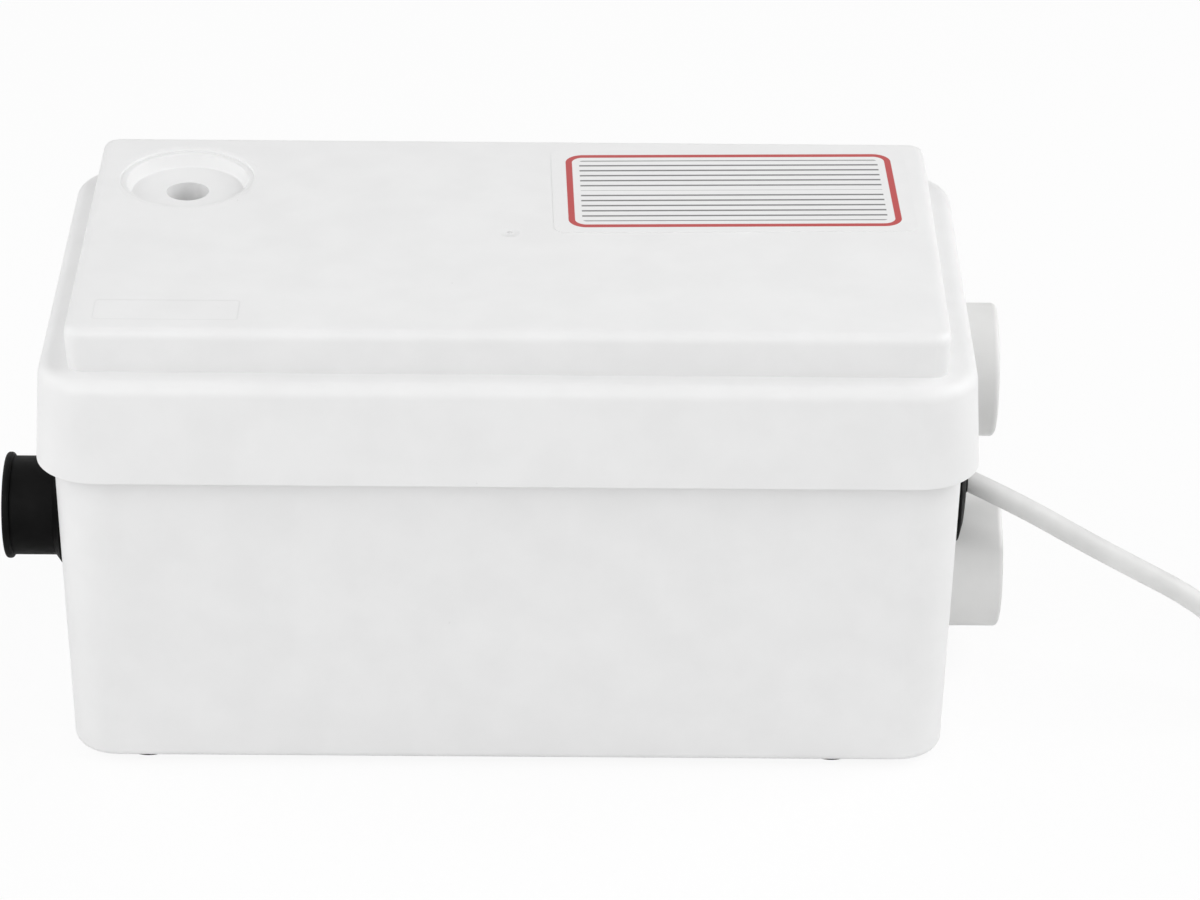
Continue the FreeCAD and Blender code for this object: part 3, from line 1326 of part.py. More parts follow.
def coil_wire():
    """The coil's centre line, a quarter turn to each pair of arcs, straight at both ends."""
    turns = S.coil_turns.number
    steps = round(turns * 4)
    stations = []
    for step in range(steps + 1):
        turn = turns * step / steps
        way = spiral(turn + 1e-4) - spiral(turn - 1e-4)
        stations.append((spiral(turn), way.normalize()))
    stations[0] = (stations[0][0], Vector(1, 0, 0))
    stations[-1] = (stations[-1][0], Vector(0, 1, 0))
    lead = 2 * S.cable_radius.number
    first, last = stations[0][0], stations[-1][0]
    edges = [Part.makeLine(first - Vector(lead, 0, 0), first)]
    for before, after in zip(stations, stations[1:]):
        edges += biarc(*before, *after)
    edges.append(Part.makeLine(last, last + Vector(0, lead, 0)))
    return Part.Wire(edges)


def bent_wire(points):
    """Straight runs joined by tangent arcs."""
    points = [Vector(*point) for point in points]
    edges = []
    tail = points[0]
    for before, corner, after in zip(points, points[1:], points[2:]):
        back = before - corner
        ahead = after - corner
        turn = math.pi - back.getAngle(ahead)
        cut = 0.45 * min(back.Length, ahead.Length)
        start = corner + back.normalize() * cut
        end = corner + ahead.normalize() * cut
        weight = math.cos(turn / 2)
        middle = (start + corner * (2 * weight) + end) * (0.5 / (1 + weight))
        edges.append(Part.makeLine(tail, start))
        edges.append(Part.Arc(start, middle, end).toShape())
        print("bend radius", round(cut / math.tan(turn / 2), 1))
        tail = end
    edges.append(Part.makeLine(tail, points[-1]))
    return Part.Wire(edges)


def swept(label, wire, radius, where=(0, 0, 0)):
    """A round solid along a wire, as one sub-part."""
    edge = wire.Edges[0]
    start = edge.valueAt(edge.FirstParameter)
    way = edge.tangentAt(edge.FirstParameter)
    section = Part.Wire([Part.makeCircle(radius, start, way)])
    part = doc.addObject("Part::Feature", label)
    part.Label = label
    part.Shape = wire.makePipeShell([section], True, False)
    part.Placement = Placement(Vector(*where), Rotation())
    expected = math.pi * radius * radius * wire.Length
    print(label, "length", round(wire.Length, 1), "volume", round(part.Shape.Volume / expected, 4))
    return keep(part)


COIL_X = 308.0
COIL_ENTRY_Y = -42.6
PLUG_Y = 64.0


def make_mains_lead():
    """The lead as it leaves the gland, its put-away coil, its tail and its plug."""
    radius = S.cable_radius.number
    gland_face = (RIM_FACE + S.gland_rise).number
    entry = spiral(0)
    finish = spiral(S.coil_turns.number)
    coil_y = COIL_ENTRY_Y - entry.y
    lead = [
        (gland_face - 0.8, -S.gland_front.number, S.gland_height.number),
        (167.3, -18.34, 68.6),
        (195.5, -24.4, 54.1),
        (233.7, -32.6, 36.8),
        (250, -36.1, 14.8),
        (274.4, COIL_ENTRY_Y, radius),
        (COIL_X - 2 * radius, COIL_ENTRY_Y, radius),
    ]
    swept("mains_cable", bent_wire(lead), radius)
    swept("cable_coil", coil_wire(), radius, (COIL_X, coil_y, 0))
    tail_x = COIL_X + finish.x
    tail_y = coil_y + finish.y + 2 * radius
    plug_z = S.plug_radius.number
    tail = [
        (tail_x, tail_y, finish.z),
        (tail_x, tail_y + 16.4, finish.z),
        (tail_x, tail_y + 36.4, plug_z),
        (tail_x, PLUG_Y, plug_z),
    ]
    swept("cable_tail", bent_wire(tail), radius)

    length = S.plug_length
    profile = [
        (0, 0),
        (4.5, 0),
        (6, 14),
        (8, 14),
        (S.plug_radius, 28),
        (S.plug_radius, length),
        (0, length),
    ]
    plug = {"x": tail_x, "y": PLUG_Y, "z": S.plug_radius, "turn": ALONG_Y}
    turned("mains_plug", profile, [(1.5, S.plug_radius, length)], **plug)
    pins = []
    for side in (-1, 1):
        pin = doc.addObject("Part::Cylinder", f"plug_pin_{side + 2}")
        bind(pin, "Radius", S.plug_pin_radius)
        bind(pin, "Height", S.plug_pin_length)
        across = tail_x + side * S.plug_pin_spacing / 2
        pins.append(place(pin, across, PLUG_Y + length, S.plug_radius, ALONG_Y))
    group("plug_pins", pins)


def make_gland():
    where = {"x": RIM_FACE, "y": -S.gland_front, "z": S.gland_height, "turn": ALONG_X}
    neck = RIM_FACE - (S.box_left + S.box_length - S.box_wall - 6)
    rise = S.gland_rise
    profile = [
        (0, 0),
        (S.cable_radius + 0.1, 0),
        (S.cable_radius + 0.1, -neck),
        (S.gland_neck, -neck),
        (S.gland_neck, 0),
        (S.gland_radius, 0),
        (S.gland_radius, S.gland_rim),
        (S.gland_shoulder_radius, S.gland_shoulder),
        (S.gland_crown_radius, rise),
        (0, rise),
    ]
    rounds = [
        (0.8, S.gland_radius, S.gland_rim),
        (12, S.gland_shoulder_radius, S.gland_shoulder),
        (30, S.gland_crown_radius, rise),
    ]
    turned("cable_gland", profile, rounds, **where)

    nut = new_body("gland_nut")
    sketch = new_sketch(nut, "YZ_Plane")
    corners = []
    for number in range(6):
        angle = math.radians(60 * number)
        corners.append((S.gland_nut * math.cos(angle), S.gland_nut * math.sin(angle)))
    polygon(sketch, corners)
    circle(sketch, S.gland_neck)
    pad(nut, sketch, 6)
    keep(place(nut, RIM_FACE - neck, -S.gland_front, S.gland_height))

    block_side = S.box_left + 45 + 7
    lead = {"x": block_side, "y": -S.gland_front, "z": S.gland_height, "turn": ALONG_X}
    rod("inner_lead", S.cable_radius, RIM_FACE - 0.5 - block_side, **lead)


def make_motor_lead():
    """Lead from the motor cover over to the switch box cover."""
    start_x = PUMP_X + S.motor_lead_right
    start_y = -S.motor_lead_front
    end_x = S.box_left + S.motor_lead_inset
    end_y = -S.box_front + S.motor_lead_end
    top = S.case_top - S.lid_wall - S.motor_lead_drop
    path = [
        (start_x, start_y, CAN_TOP + S.cover_thickness),
        (start_x, start_y, top - 5),
        ((start_x + end_x) / 2, (start_y + end_y) / 2, top),
        (end_x, end_y, top - 8),
        (end_x, end_y, BOX_TOP + S.cover_height),
    ]
    path = [[float(value) for value in point] for point in path]
    swept("motor_lead", bent_wire(path), S.motor_lead_radius.number)


def smallest_coil_gap():
    """Least gap between turns of the coil that aren't neighbours along it."""
    steps = 180
    count = int(S.coil_turns.number * steps)
    points = [spiral(number / steps) for number in range(count + 1)]
    least = 1e9
    for number, point in enumerate(points):
        for other in points[number + steps // 3 :: 2]:
            least = min(least, point.distanceToPoint(other))
    return least - 2 * S.cable_radius.number


def main():
    make_tank()
    make_feet()
    make_lid()
    make_lid_gasket()
    make_label()
    make_vent_filter()
    make_inlet_fittings()
    make_discharge_sleeve()
    make_inlet_flap()
    make_check_valve()
    make_discharge_hose()
    make_pump_casing()
    make_pump_feet()
    make_strainer()
    make_rotor()
    make_stator()
    make_motor_housing()
    make_switch_box()
    make_electrics()
    make_pressure_switch()
    make_gland()
    make_motor_lead()
    make_mains_lead()
    doc.recompute()
    print("coil gap", round(smallest_coil_gap(), 2))

    for thing in doc.Objects:
        if "Invalid" in thing.State or "Error" in thing.State:
            raise RuntimeError(f"{thing.Label} is {thing.State}")
    os.makedirs("parts", exist_ok=True)
    for part in sub_parts:
        shape = part.Shape
        if shape.isNull() or not shape.isValid():
            raise RuntimeError(f"{part.Label} has no valid shape")
        shape.exportStep(f"parts/{part.Label}.step")
        box = shape.BoundBox
        corners = [round(value, 2) for value in (box.XMin, box.YMin, box.ZMin, box.XMax, box.YMax, box.ZMax)]
        print(part.Label, len(shape.Solids), round(shape.Volume), corners)
    print(len(sub_parts), "parts")


main()
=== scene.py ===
import math

import bpy
import numpy as np
from bpy.props import FloatProperty, FloatVectorProperty, IntProperty, PointerProperty, StringProperty
from bpy.types import NodeSocket, Operator, Panel, PropertyGroup, Scene
from mathutils import Matrix, Vector


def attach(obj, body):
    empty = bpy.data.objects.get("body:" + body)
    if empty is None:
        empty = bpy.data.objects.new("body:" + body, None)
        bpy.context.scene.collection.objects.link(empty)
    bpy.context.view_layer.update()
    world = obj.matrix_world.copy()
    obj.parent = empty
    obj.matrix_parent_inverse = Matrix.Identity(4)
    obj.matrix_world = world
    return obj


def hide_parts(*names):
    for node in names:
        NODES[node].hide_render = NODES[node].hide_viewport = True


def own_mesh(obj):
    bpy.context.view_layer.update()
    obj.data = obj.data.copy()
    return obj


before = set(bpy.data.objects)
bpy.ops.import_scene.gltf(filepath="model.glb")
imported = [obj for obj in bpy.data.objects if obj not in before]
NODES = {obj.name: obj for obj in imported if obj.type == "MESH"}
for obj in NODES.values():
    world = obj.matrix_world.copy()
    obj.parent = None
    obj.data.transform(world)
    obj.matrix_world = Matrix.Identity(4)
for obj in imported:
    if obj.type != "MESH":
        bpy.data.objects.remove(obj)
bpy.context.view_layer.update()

bl_info = {
    "name": "Grey Water Pump Looks",
    "version": (1, 0, 0),
    "blender": (4, 5, 0),
    "location": "View3D > Sidebar > Grey Water Pump",
    "description": "Finishes, mains lead, sticker, camera and light for the grey water pump",
    "category": "Object",
}

MM = 0.001
# The wave texture's scale that gives one band a metre.
ONE_BAND = 2 * math.pi / 20
WHITE = (1, 1, 1, 1)
ROOT = "tank_unit"

# Places and sizes on the object, in metres.
GLAND_FACE_X = 0.15005
LIP_REACH = 0.0045
LIP_RADIUS = 0.00085
LEAD_ROUTE = (
    (0.14925, -0.0145, 0.0758),
    (0.1673, -0.01834, 0.0686),
    (0.1955, -0.0244, 0.0541),
    (0.2337, -0.0326, 0.0368),
    (0.250, -0.0361, 0.0148),
    (0.2744, -0.0426, 0.00365),
    (0.3007, -0.0426, 0.00365),
)
COIL_CENTRE_X = 0.308
TAIL_LEVEL = 0.0164
TAIL_RISE = 0.0200
PLUG_PLACE_Y = 0.064
PLUG_RADIUS = 0.0185
STICKER_PLACE = (0.0725, 0.0328, 0.1575)
GATE_PLACE = (-0.0004, -0.0005, 0.1575)
BARE_FILM_PLACE = (-0.1073, -0.0577, 0.1575)
BARE_FILM_SIZE = (0.0454, 0.0133)
SPRING_PLACE = (0.112, -0.046)
SPRING_FOOT = 0.0503
SPRING_TOP = 0.0600
SPRING_RADIUS = 0.005
SPRING_WIRE = 0.0005
SPRING_TURNS = 4


# Sizes and colours that a user would change.


class CameraSettings(PropertyGroup):
    lens: FloatProperty(
        name="Lens", description="Focal length on a 36 mm wide sensor", default=137.06, unit="CAMERA"
    )
    place: FloatVectorProperty(
        name="Place",
        description="Where the camera stands",
        default=(0.019477, -1.337097, 0.802921),
        subtype="XYZ",
    )
    heading: FloatProperty(name="Heading", description="Turn about Z", default=-0.00758, subtype="ANGLE")
    dip: FloatProperty(name="Dip", description="How far it looks down", default=0.49722, subtype="ANGLE")
    roll: FloatProperty(
        name="Roll", description="Turn about its own line of sight", default=-0.0110, subtype="ANGLE"
    )


class StageSettings(PropertyGroup):
    sky: FloatProperty(name="Sky", description="Strength of the even light from all round", default=0.25)
    right: FloatProperty(
        name="Right Softbox", description="Power of the key light", default=18.5, unit="POWER"
    )
    left: FloatProperty(name="Left Softbox", description="Power of the left light", default=9.0, unit="POWER")
    front: FloatProperty(
        name="Front Softbox", description="Power of the front light", default=7.5, unit="POWER"
    )
    corner: FloatProperty(
        name="Corner Softbox", description="Power of the front left light", default=11.0, unit="POWER"
    )
    back: FloatProperty(
        name="Back Softboxes", description="Power of each light behind", default=4.2, unit="POWER"
    )
    size: FloatProperty(name="Softbox Size", description="Side of each light", default=1.5, unit="LENGTH")
    floor: StringProperty(name="Floor", description="Colour of the floor", default="F7F7F7")


class CaseSettings(PropertyGroup):
    white: StringProperty(name="White", description="Colour of the moulded case", default="F0F0F0")
    shade: StringProperty(name="Shade", description="White of its slightly darker clouds", default="EDEDED")
    roughness: FloatProperty(
        name="Roughness", description="Satin of the moulded case", default=0.42, subtype="FACTOR"
    )


class LeadSettings(PropertyGroup):
    length: FloatProperty(
        name="Length", description="From the gland to the plug", default=1.25, unit="LENGTH"
    )
    diameter: FloatProperty(
        name="Diameter", description="Outside of the lead", default=0.0073, unit="LENGTH"
    )
    turns: FloatProperty(name="Turns", description="Turns of the put-away coil", default=4.25)
    points: IntProperty(name="Points", description="Control points in a turn of the coil", default=16)
    pitch: FloatProperty(name="Pitch", description="One turn to the next", default=0.008, unit="LENGTH")
    coil: FloatProperty(
        name="Coil", description="Radius at the middle of the turns", default=0.038, unit="LENGTH"
    )


class StickerSettings(PropertyGroup):
    length: FloatProperty(name="Length", description="Print along the case", default=0.1092, unit="LENGTH")
    width: FloatProperty(name="Width", description="Print across the case", default=0.0560, unit="LENGTH")
    border: FloatProperty(
        name="Border", description="Width of the red border", default=0.0023, unit="LENGTH"
    )
    turn: FloatProperty(
        name="Turn", description="Askew on the lid", default=math.radians(1.55), subtype="ANGLE"
    )
    red: StringProperty(name="Red", description="Colour of the border", default="B62C2C")
    ink: StringProperty(name="Ink", description="Colour of the ruled lines", default="6E6E6E")


class PumpSettings(PropertyGroup):
    camera: PointerProperty(name="Camera", description="Place and lens of the camera", type=CameraSettings)
    stage: PointerProperty(name="Stage", description="Floor and light", type=StageSettings)
    case: PointerProperty(name="Case", description="Finish of the moulded case", type=CaseSettings)
    lead: PointerProperty(name="Lead", description="Sizes of the mains lead and its coil", type=LeadSettings)
    sticker: PointerProperty(name="Sticker", description="Print on the clear film", type=StickerSettings)


# Node trees.


def linear(code):
    """An sRGB hex colour as linear red, green, blue and alpha."""
    channels = [int(code[place : place + 2], 16) / 255 for place in (0, 2, 4)]
    return [c / 12.92 if c <= 0.04045 else ((c + 0.055) / 1.055) ** 2.4 for c in channels] + [1.0]


def add(tree, kind, inputs=None, **settings):
    """Add one shader node with its settings, and give its outputs.

    An input is a value, or another node's output to link. A Mix node's names repeat, so for colours
    its inputs are 0 for the factor, 6 and 7 for the colours, and its output is 2.
    """
    made = tree.nodes.new("ShaderNode" + kind)
    for name, value in settings.items():
        setattr(made, name, value)
    for name, value in (inputs or {}).items():
        if isinstance(value, NodeSocket):
            tree.links.new(value, made.inputs[name])
        else:
            made.inputs[name].default_value = value
    return made.outputs


def new_material(name):
    """A material with an empty node tree, that tree, and the place on the object, in metres."""
    material = bpy.data.materials.new(name)
    material.use_nodes = True
    tree = material.node_tree
    tree.nodes.clear()
    return material, tree, add(tree, "TexCoord")["Object"]


def moulded(name, first, second, cloud, roughness, grain, depth, more):
    """A moulded surface: two close shades in clouds, uneven gloss, and a fine grain in relief.

    Cloud and grain are widths in millimetres, depth is the relief's height in millimetres, and
    more holds the shader's other values.
    """
    material, tree, point = new_material(name)
    broad = add(tree, "TexNoise", {"Vector": point, "Scale": 1 / (cloud * MM), "Detail": 3.0})["Fac"]
    clouds = add(tree, "MapRange", {"Value": broad, "From Min": 0.35, "From Max": 0.65})[0]
    shades = {0: clouds, 6: linear(first), 7: linear(second)}
    colour = add(tree, "Mix", shades, data_type="RGBA")[2]
    uneven = add(tree, "TexNoise", {"Vector": point, "Scale": 3 / (cloud * MM)})["Fac"]
    range_of = {"Value": uneven, "From Min": 0.3, "From Max": 0.7}
    gloss = add(tree, "MapRange", {**range_of, "To Min": roughness - 0.05, "To Max": roughness + 0.05})[0]
    fine = add(tree, "TexNoise", {"Vector": point, "Scale": 1 / (grain * MM)})["Fac"]
    relief = add(tree, "Bump", {"Height": fine, "Distance": depth * MM})[0]
    surface = {"Base Color": colour, "Roughness": gloss, "Normal": relief, **more}
    add(tree, "OutputMaterial", {"Surface": add(tree, "BsdfPrincipled", surface)[0]})
    return material


def metal(name, first, second, cloud, roughness, grain, depth, stretch=(1, 1, 1)):
    """A metal: two close shades, uneven gloss, and marks that stretch along the way it was worked.

    Cloud and grain are widths in millimetres, and depth is the marks' height in millimetres.
    """
    material, tree, point = new_material(name)
    point = add(tree, "Mapping", {"Vector": point, "Scale": stretch})[0]
    broad = add(tree, "TexNoise", {"Vector": point, "Scale": 1 / (cloud * MM)})["Fac"]
    clouds = add(tree, "MapRange", {"Value": broad, "From Min": 0.35, "From Max": 0.65})[0]
    shades = {0: clouds, 6: linear(first), 7: linear(second)}
    colour = add(tree, "Mix", shades, data_type="RGBA")[2]
    scratch = {"Vector": point, "Scale": 1 / (grain * MM), "Detail": 4.0, "Roughness": 0.6}
    marks = add(tree, "TexNoise", scratch)["Fac"]
    range_of = {"Value": marks, "From Min": 0.3, "From Max": 0.7}
    gloss = add(tree, "MapRange", {**range_of, "To Min": roughness - 0.06, "To Max": roughness + 0.06})[0]
    relief = add(tree, "Bump", {"Height": marks, "Distance": depth * MM})[0]
    surface = {"Base Color": colour, "Metallic": 1.0, "Roughness": gloss, "Normal": relief}
    add(tree, "OutputMaterial", {"Surface": add(tree, "BsdfPrincipled", surface)[0]})
    return material


def outside_of(tree, point, length, width, corner):
    """Distance outside a rounded rectangle, in metres, which is negative inside.

    It is the straight distance to the inner box, or inside that box the nearest side's, less the
    corner's radius.
    """
    axes = add(tree, "SeparateXYZ", {0: point})
    past, squares = [], []
    for axis, size in ((axes["X"], length), (axes["Y"], width)):
        reach = add(tree, "Math", {0: axis}, operation="ABSOLUTE")[0]
        past.append(add(tree, "Math", {0: reach, 1: size / 2 - corner}, operation="SUBTRACT")[0])
        beyond = add(tree, "Math", {0: past[-1], 1: 0.0}, operation="MAXIMUM")[0]
        squares.append(add(tree, "Math", {0: beyond, 1: beyond}, operation="MULTIPLY")[0])
    total = add(tree, "Math", dict(enumerate(squares)), operation="ADD")[0]
    straight = add(tree, "Math", {0: total}, operation="SQRT")[0]
    most = add(tree, "Math", dict(enumerate(past)), operation="MAXIMUM")[0]
    inside = add(tree, "Math", {0: most, 1: 0.0}, operation="MINIMUM")[0]
    whole = add(tree, "Math", {0: straight, 1: inside}, operation="ADD")[0]
    return add(tree, "Math", {0: whole, 1: corner}, operation="SUBTRACT")[0]


def dress(material, *nodes):
    """Give carried-over nodes their finish."""
    for name in nodes:
        materials = NODES[name].data.materials
        materials.clear()
        materials.append(material)


def piece(mesh, material, body, replaced=()):
    """A finished object for a mesh, riding on its body."""
    made = bpy.data.objects.new(mesh.name, mesh)
    bpy.context.scene.collection.objects.link(made)
    mesh.materials.append(material)
    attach(made, body)
    if replaced:
        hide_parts(*replaced)
    return made


def grid_mesh(name, points, ring=False):
    """A closed mesh on a grid of points: each row joins up round, and the ends are capped.

    Where ring is true the last row joins the first, and there are no ends.
    """
    rows, columns = points.shape[:2]
    row, column = np.meshgrid(np.arange(rows if ring else rows - 1), np.arange(columns), indexing="ij")
    after, below = (column + 1) % columns, (row + 1) % rows
    here, beneath = row * columns, below * columns
    corners = [here + column, here + after, beneath + after, beneath + column]
    faces = np.stack(corners, axis=-1).reshape(-1, 4).tolist()
    if not ring:
        first = np.arange(columns)
        faces += [first[::-1].tolist(), (first + (rows - 1) * columns).tolist()]
    mesh = bpy.data.meshes.new(name)
    mesh.from_pydata(points.reshape(-1, 3).tolist(), [], faces)
    mesh.validate()
    mesh.polygons.foreach_set("use_smooth", [True] * len(mesh.polygons))
    mesh.update()
    return mesh


# The pieces.


def frame_camera(settings):
    """The camera at its place: heading turns it about Z, dip tips it down, roll turns its picture."""
    heading, dip, roll = settings.heading, settings.dip, settings.roll
    level = Vector((-math.sin(heading), math.cos(heading), 0))
    side = Vector((math.cos(heading), math.sin(heading), 0))
    up = Vector((0, 0, 1))
    sight = level * math.cos(dip) - up * math.sin(dip)
    down = -(up * math.cos(dip) + level * math.sin(dip))
    right = side * math.cos(roll) + down * math.sin(roll)
    below = down * math.cos(roll) - side * math.sin(roll)
    camera = bpy.data.objects.new("camera", bpy.data.cameras.new("camera"))
    bpy.context.scene.collection.objects.link(camera)
    camera.data.lens = settings.lens
    camera.data.sensor_width = 36
    camera.data.clip_end = 50
    turn = Matrix((right, -below, -sight)).transposed()
    camera.matrix_world = Matrix.Translation(settings.place) @ turn.to_4x4()
    bpy.context.scene.camera = camera


def coil_points(lead):
    """The coil's control points: it winds in on the floor, climbs a layer and winds out again.

    The radius is a core plus the pitch times the turns from the middle, rounded off at the middle.
    The climb is a smooth step over the middle half turn.
    """
    count = round(lead.turns * lead.points)
    turn = np.arange(count + 1) / lead.points
    middle = lead.turns / 2
    core = lead.coil - lead.pitch * middle / 2
    radius = core + lead.pitch * np.hypot(turn - middle, 0.08)
    climb = np.clip(2 * (turn - middle) + 0.5, 0, 1)
    height = lead.diameter / 2 + lead.pitch * climb**2 * (3 - 2 * climb)
    angle = 2 * np.pi * (turn - 0.25)
    centre_y = LEAD_ROUTE[-1][1] + radius[0]
    across = COIL_CENTRE_X + radius * np.cos(angle)
    along = centre_y + radius * np.sin(angle)
    return np.stack([across, along, height], axis=1)


def make_lead(settings):
    """The mains lead as one smooth spline, from the gland through its coil to the plug."""
    coil = coil_points(settings)
    end_x, end_y, level = coil[-1]
    end_y += settings.diameter
    # Past the coil it runs level, then rises to the plug's axis.
    tail = [
        (end_x, end_y, level),
        (end_x, end_y + TAIL_LEVEL, level),
        (end_x, end_y + TAIL_LEVEL + TAIL_RISE, PLUG_RADIUS),
        (end_x, PLUG_PLACE_Y, PLUG_RADIUS),
    ]
    points = [*LEAD_ROUTE, *coil.tolist(), *tail]
    curve = bpy.data.curves.new("mains_lead", "CURVE")
    curve.dimensions = "3D"
    curve.bevel_depth = settings.diameter / 2
    curve.bevel_resolution = 6
    curve.resolution_u = 8
    spline = curve.splines.new("NURBS")
    spline.points.add(len(points) - 1)
    spline.points.foreach_set("co", [value for point in points for value in (*point, 1.0)])
    spline.order_u = 3
    spline.use_endpoint_u = True
    # White PVC from an extruder: satin, faintly streaked along its length.
    material = moulded("extruded_white_pvc", "E4E4E3", "DCDCDB", 14, 0.45, 0.5, 0.01, {"IOR": 1.53})
    curve.materials.append(material)
    lead = bpy.data.objects.new("mains_lead", curve)
    bpy.context.scene.collection.objects.link(lead)
    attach(lead, ROOT)
    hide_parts("mains_cable", "cable_coil", "cable_tail")
    return lead, points[0], end_x


def make_plug(axis_x):
    """Moulded mains plug: a profile along its axis, with grip rings, flutes and two channels.

    The radius follows the profile. The lead's end has rings, a sine of the way along, and the
    shoulder has flutes, a cosine of the turn. Each side has a flat channel for an earth clip: there
    the radius is cut down to the channel's depth over the cosine of the turn.
    """
    # The profile from the lead's end to the pins' face: the way along, and the radius there.
    way = np.array([0, 0.5, 14, 14.5, 17, 21, 26, 28.5, 30, 31, 48.2, 49.4, 50, 50]) * MM
    size = np.array([3.6, 4.4, 5.9, 8.2, 9.4, 11.2, 15.4, 17.4, 18.2, 18.5, 18.5, 18.1, 17.2, 0.01]) * MM
    ridge, ring_pitch, ring_end = 0.35 * MM, 2.8 * MM, 13.5 * MM
    flute_count, channel_half = 18, 5.5 * MM
    rows = np.unique(np.concatenate([np.linspace(0, way[-1], 161), way]))
    rows = np.append(rows, rows[-1])
    radius = np.interp(rows, way[:-1], size[:-1])
    radius[-1] = size[-1]
    radius += ridge * np.sin(2 * np.pi * rows / ring_pitch) * (rows < ring_end)
    angle = np.linspace(0, 2 * np.pi, 96, endpoint=False)
    across = np.abs(np.cos(angle))[None, :]
    reach = np.interp(rows / MM, [30, 33, 50], [18.6, 16.4, 16.4])[:, None] * MM
    narrow = np.abs(np.sin(angle))[None, :] * radius[:, None] < channel_half
    flat = np.minimum(radius[:, None], reach / np.maximum(across, 0.05))
    grip = np.interp(rows / MM, [17, 20, 27, 29], [0, 1, 1, 0])[:, None]
    flutes = ridge * grip * np.cos(angle * flute_count)[None, :]
    body = np.where(narrow, flat, radius[:, None]) + flutes
    points = np.empty((len(rows), len(angle), 3))
    points[..., 0] = axis_x + body * np.cos(angle)
    points[..., 1] = PLUG_PLACE_Y + rows[:, None]
    points[..., 2] = PLUG_RADIUS + body * np.sin(angle)
    mesh = grid_mesh("moulded_plug", points[:, ::-1])
    # White PVC from a mould: satin, much as the lead but a shade lighter.
    material = moulded("moulded_white_pvc", "E6E6E5", "DEDEDD", 20, 0.42, 0.6, 0.02, {"IOR": 1.53})
    return piece(mesh, material, ROOT, ("mains_plug",))


def make_sticker(settings):
    """A blank clear film, flat on the lid, printed with a red border and plain ruled lines.

    The border follows the distance outside a rounded rectangle. The lines repeat up and down from
    the film's middle, where a hairline parts the two blocks.
    """
    # Printed clear polyester film: smooth, a little glossier than the case, with flat inks.
    material, tree, point = new_material("printed_clear_film")
    place = {"Vector": point, "Location": STICKER_PLACE, "Rotation": (0, 0, settings.turn)}
    point = add(tree, "Mapping", place, vector_type="TEXTURE")[0]
    distance = outside_of(tree, point, settings.length, settings.width, 6 * MM)
    half = settings.border / 2
    inward = add(tree, "Math", {0: distance, 1: half}, operation="ADD")[0]
    from_border = add(tree, "Math", {0: inward}, operation="ABSOLUTE")[0]
    red = add(tree, "MapRange", {"Value": from_border, "From Min": half, "From Max": half - 0.15 * MM})[0]
    # Ruled lines a millimetre thick and 3.9 mm apart, 4.6 mm inside the film's print.
    middle = add(tree, "SeparateXYZ", {0: point})["Y"]
    height = add(tree, "Math", {0: middle}, operation="ABSOLUTE")[0]
    shifted = add(tree, "Math", {0: height, 1: 0.1 * MM}, operation="ADD")[0]
    row = add(tree, "Math", {0: shifted, 1: 3.9 / 2 * MM}, operation="PINGPONG")[0]
    rule = add(tree, "MapRange", {"Value": row, "From Min": 0.60 * MM, "From Max": 0.45 * MM})[0]
    block = add(tree, "MapRange", {"Value": height, "From Min": 1.9 * MM, "From Max": 2.1 * MM})[0]
    rules = add(tree, "Math", {0: rule, 1: block}, operation="MULTIPLY")[0]
    thin = {"Value": height, "From Min": 0.22 * MM, "From Max": 0.12 * MM, "To Max": 0.6}
    hairline = add(tree, "MapRange", thin)[0]
    within = add(tree, "MapRange", {"Value": distance, "From Min": -4.5 * MM, "From Max": -4.7 * MM})[0]
    either = add(tree, "Math", {0: rules, 1: hairline}, operation="MAXIMUM")[0]
    lines = add(tree, "Math", {0: either, 1: within}, operation="MULTIPLY")[0]
    clouds = add(tree, "TexNoise", {"Vector": point, "Scale": 1 / (9 * MM)})["Fac"]
    shades = {0: clouds, 6: linear("F0F0F0"), 7: linear("ECECEC")}
    film = add(tree, "Mix", shades, data_type="RGBA")[2]
    ruled = add(tree, "Mix", {0: lines, 6: film, 7: linear(settings.ink)}, data_type="RGBA")[2]
    colour = add(tree, "Mix", {0: red, 6: ruled, 7: linear(settings.red)}, data_type="RGBA")[2]
    uneven = add(tree, "TexNoise", {"Vector": point, "Scale": 1 / (20 * MM), "Detail": 0.0})["Fac"]
    range_of = {"Value": uneven, "From Min": 0.3, "From Max": 0.7}
    gloss = add(tree, "MapRange", {**range_of, "To Min": 0.32, "To Max": 0.36})[0]
    surface = {"Base Color": colour, "Roughness": gloss, "IOR": 1.48}
    add(tree, "OutputMaterial", {"Surface": add(tree, "BsdfPrincipled", surface)[0]})
    dress(material, "label_plate")


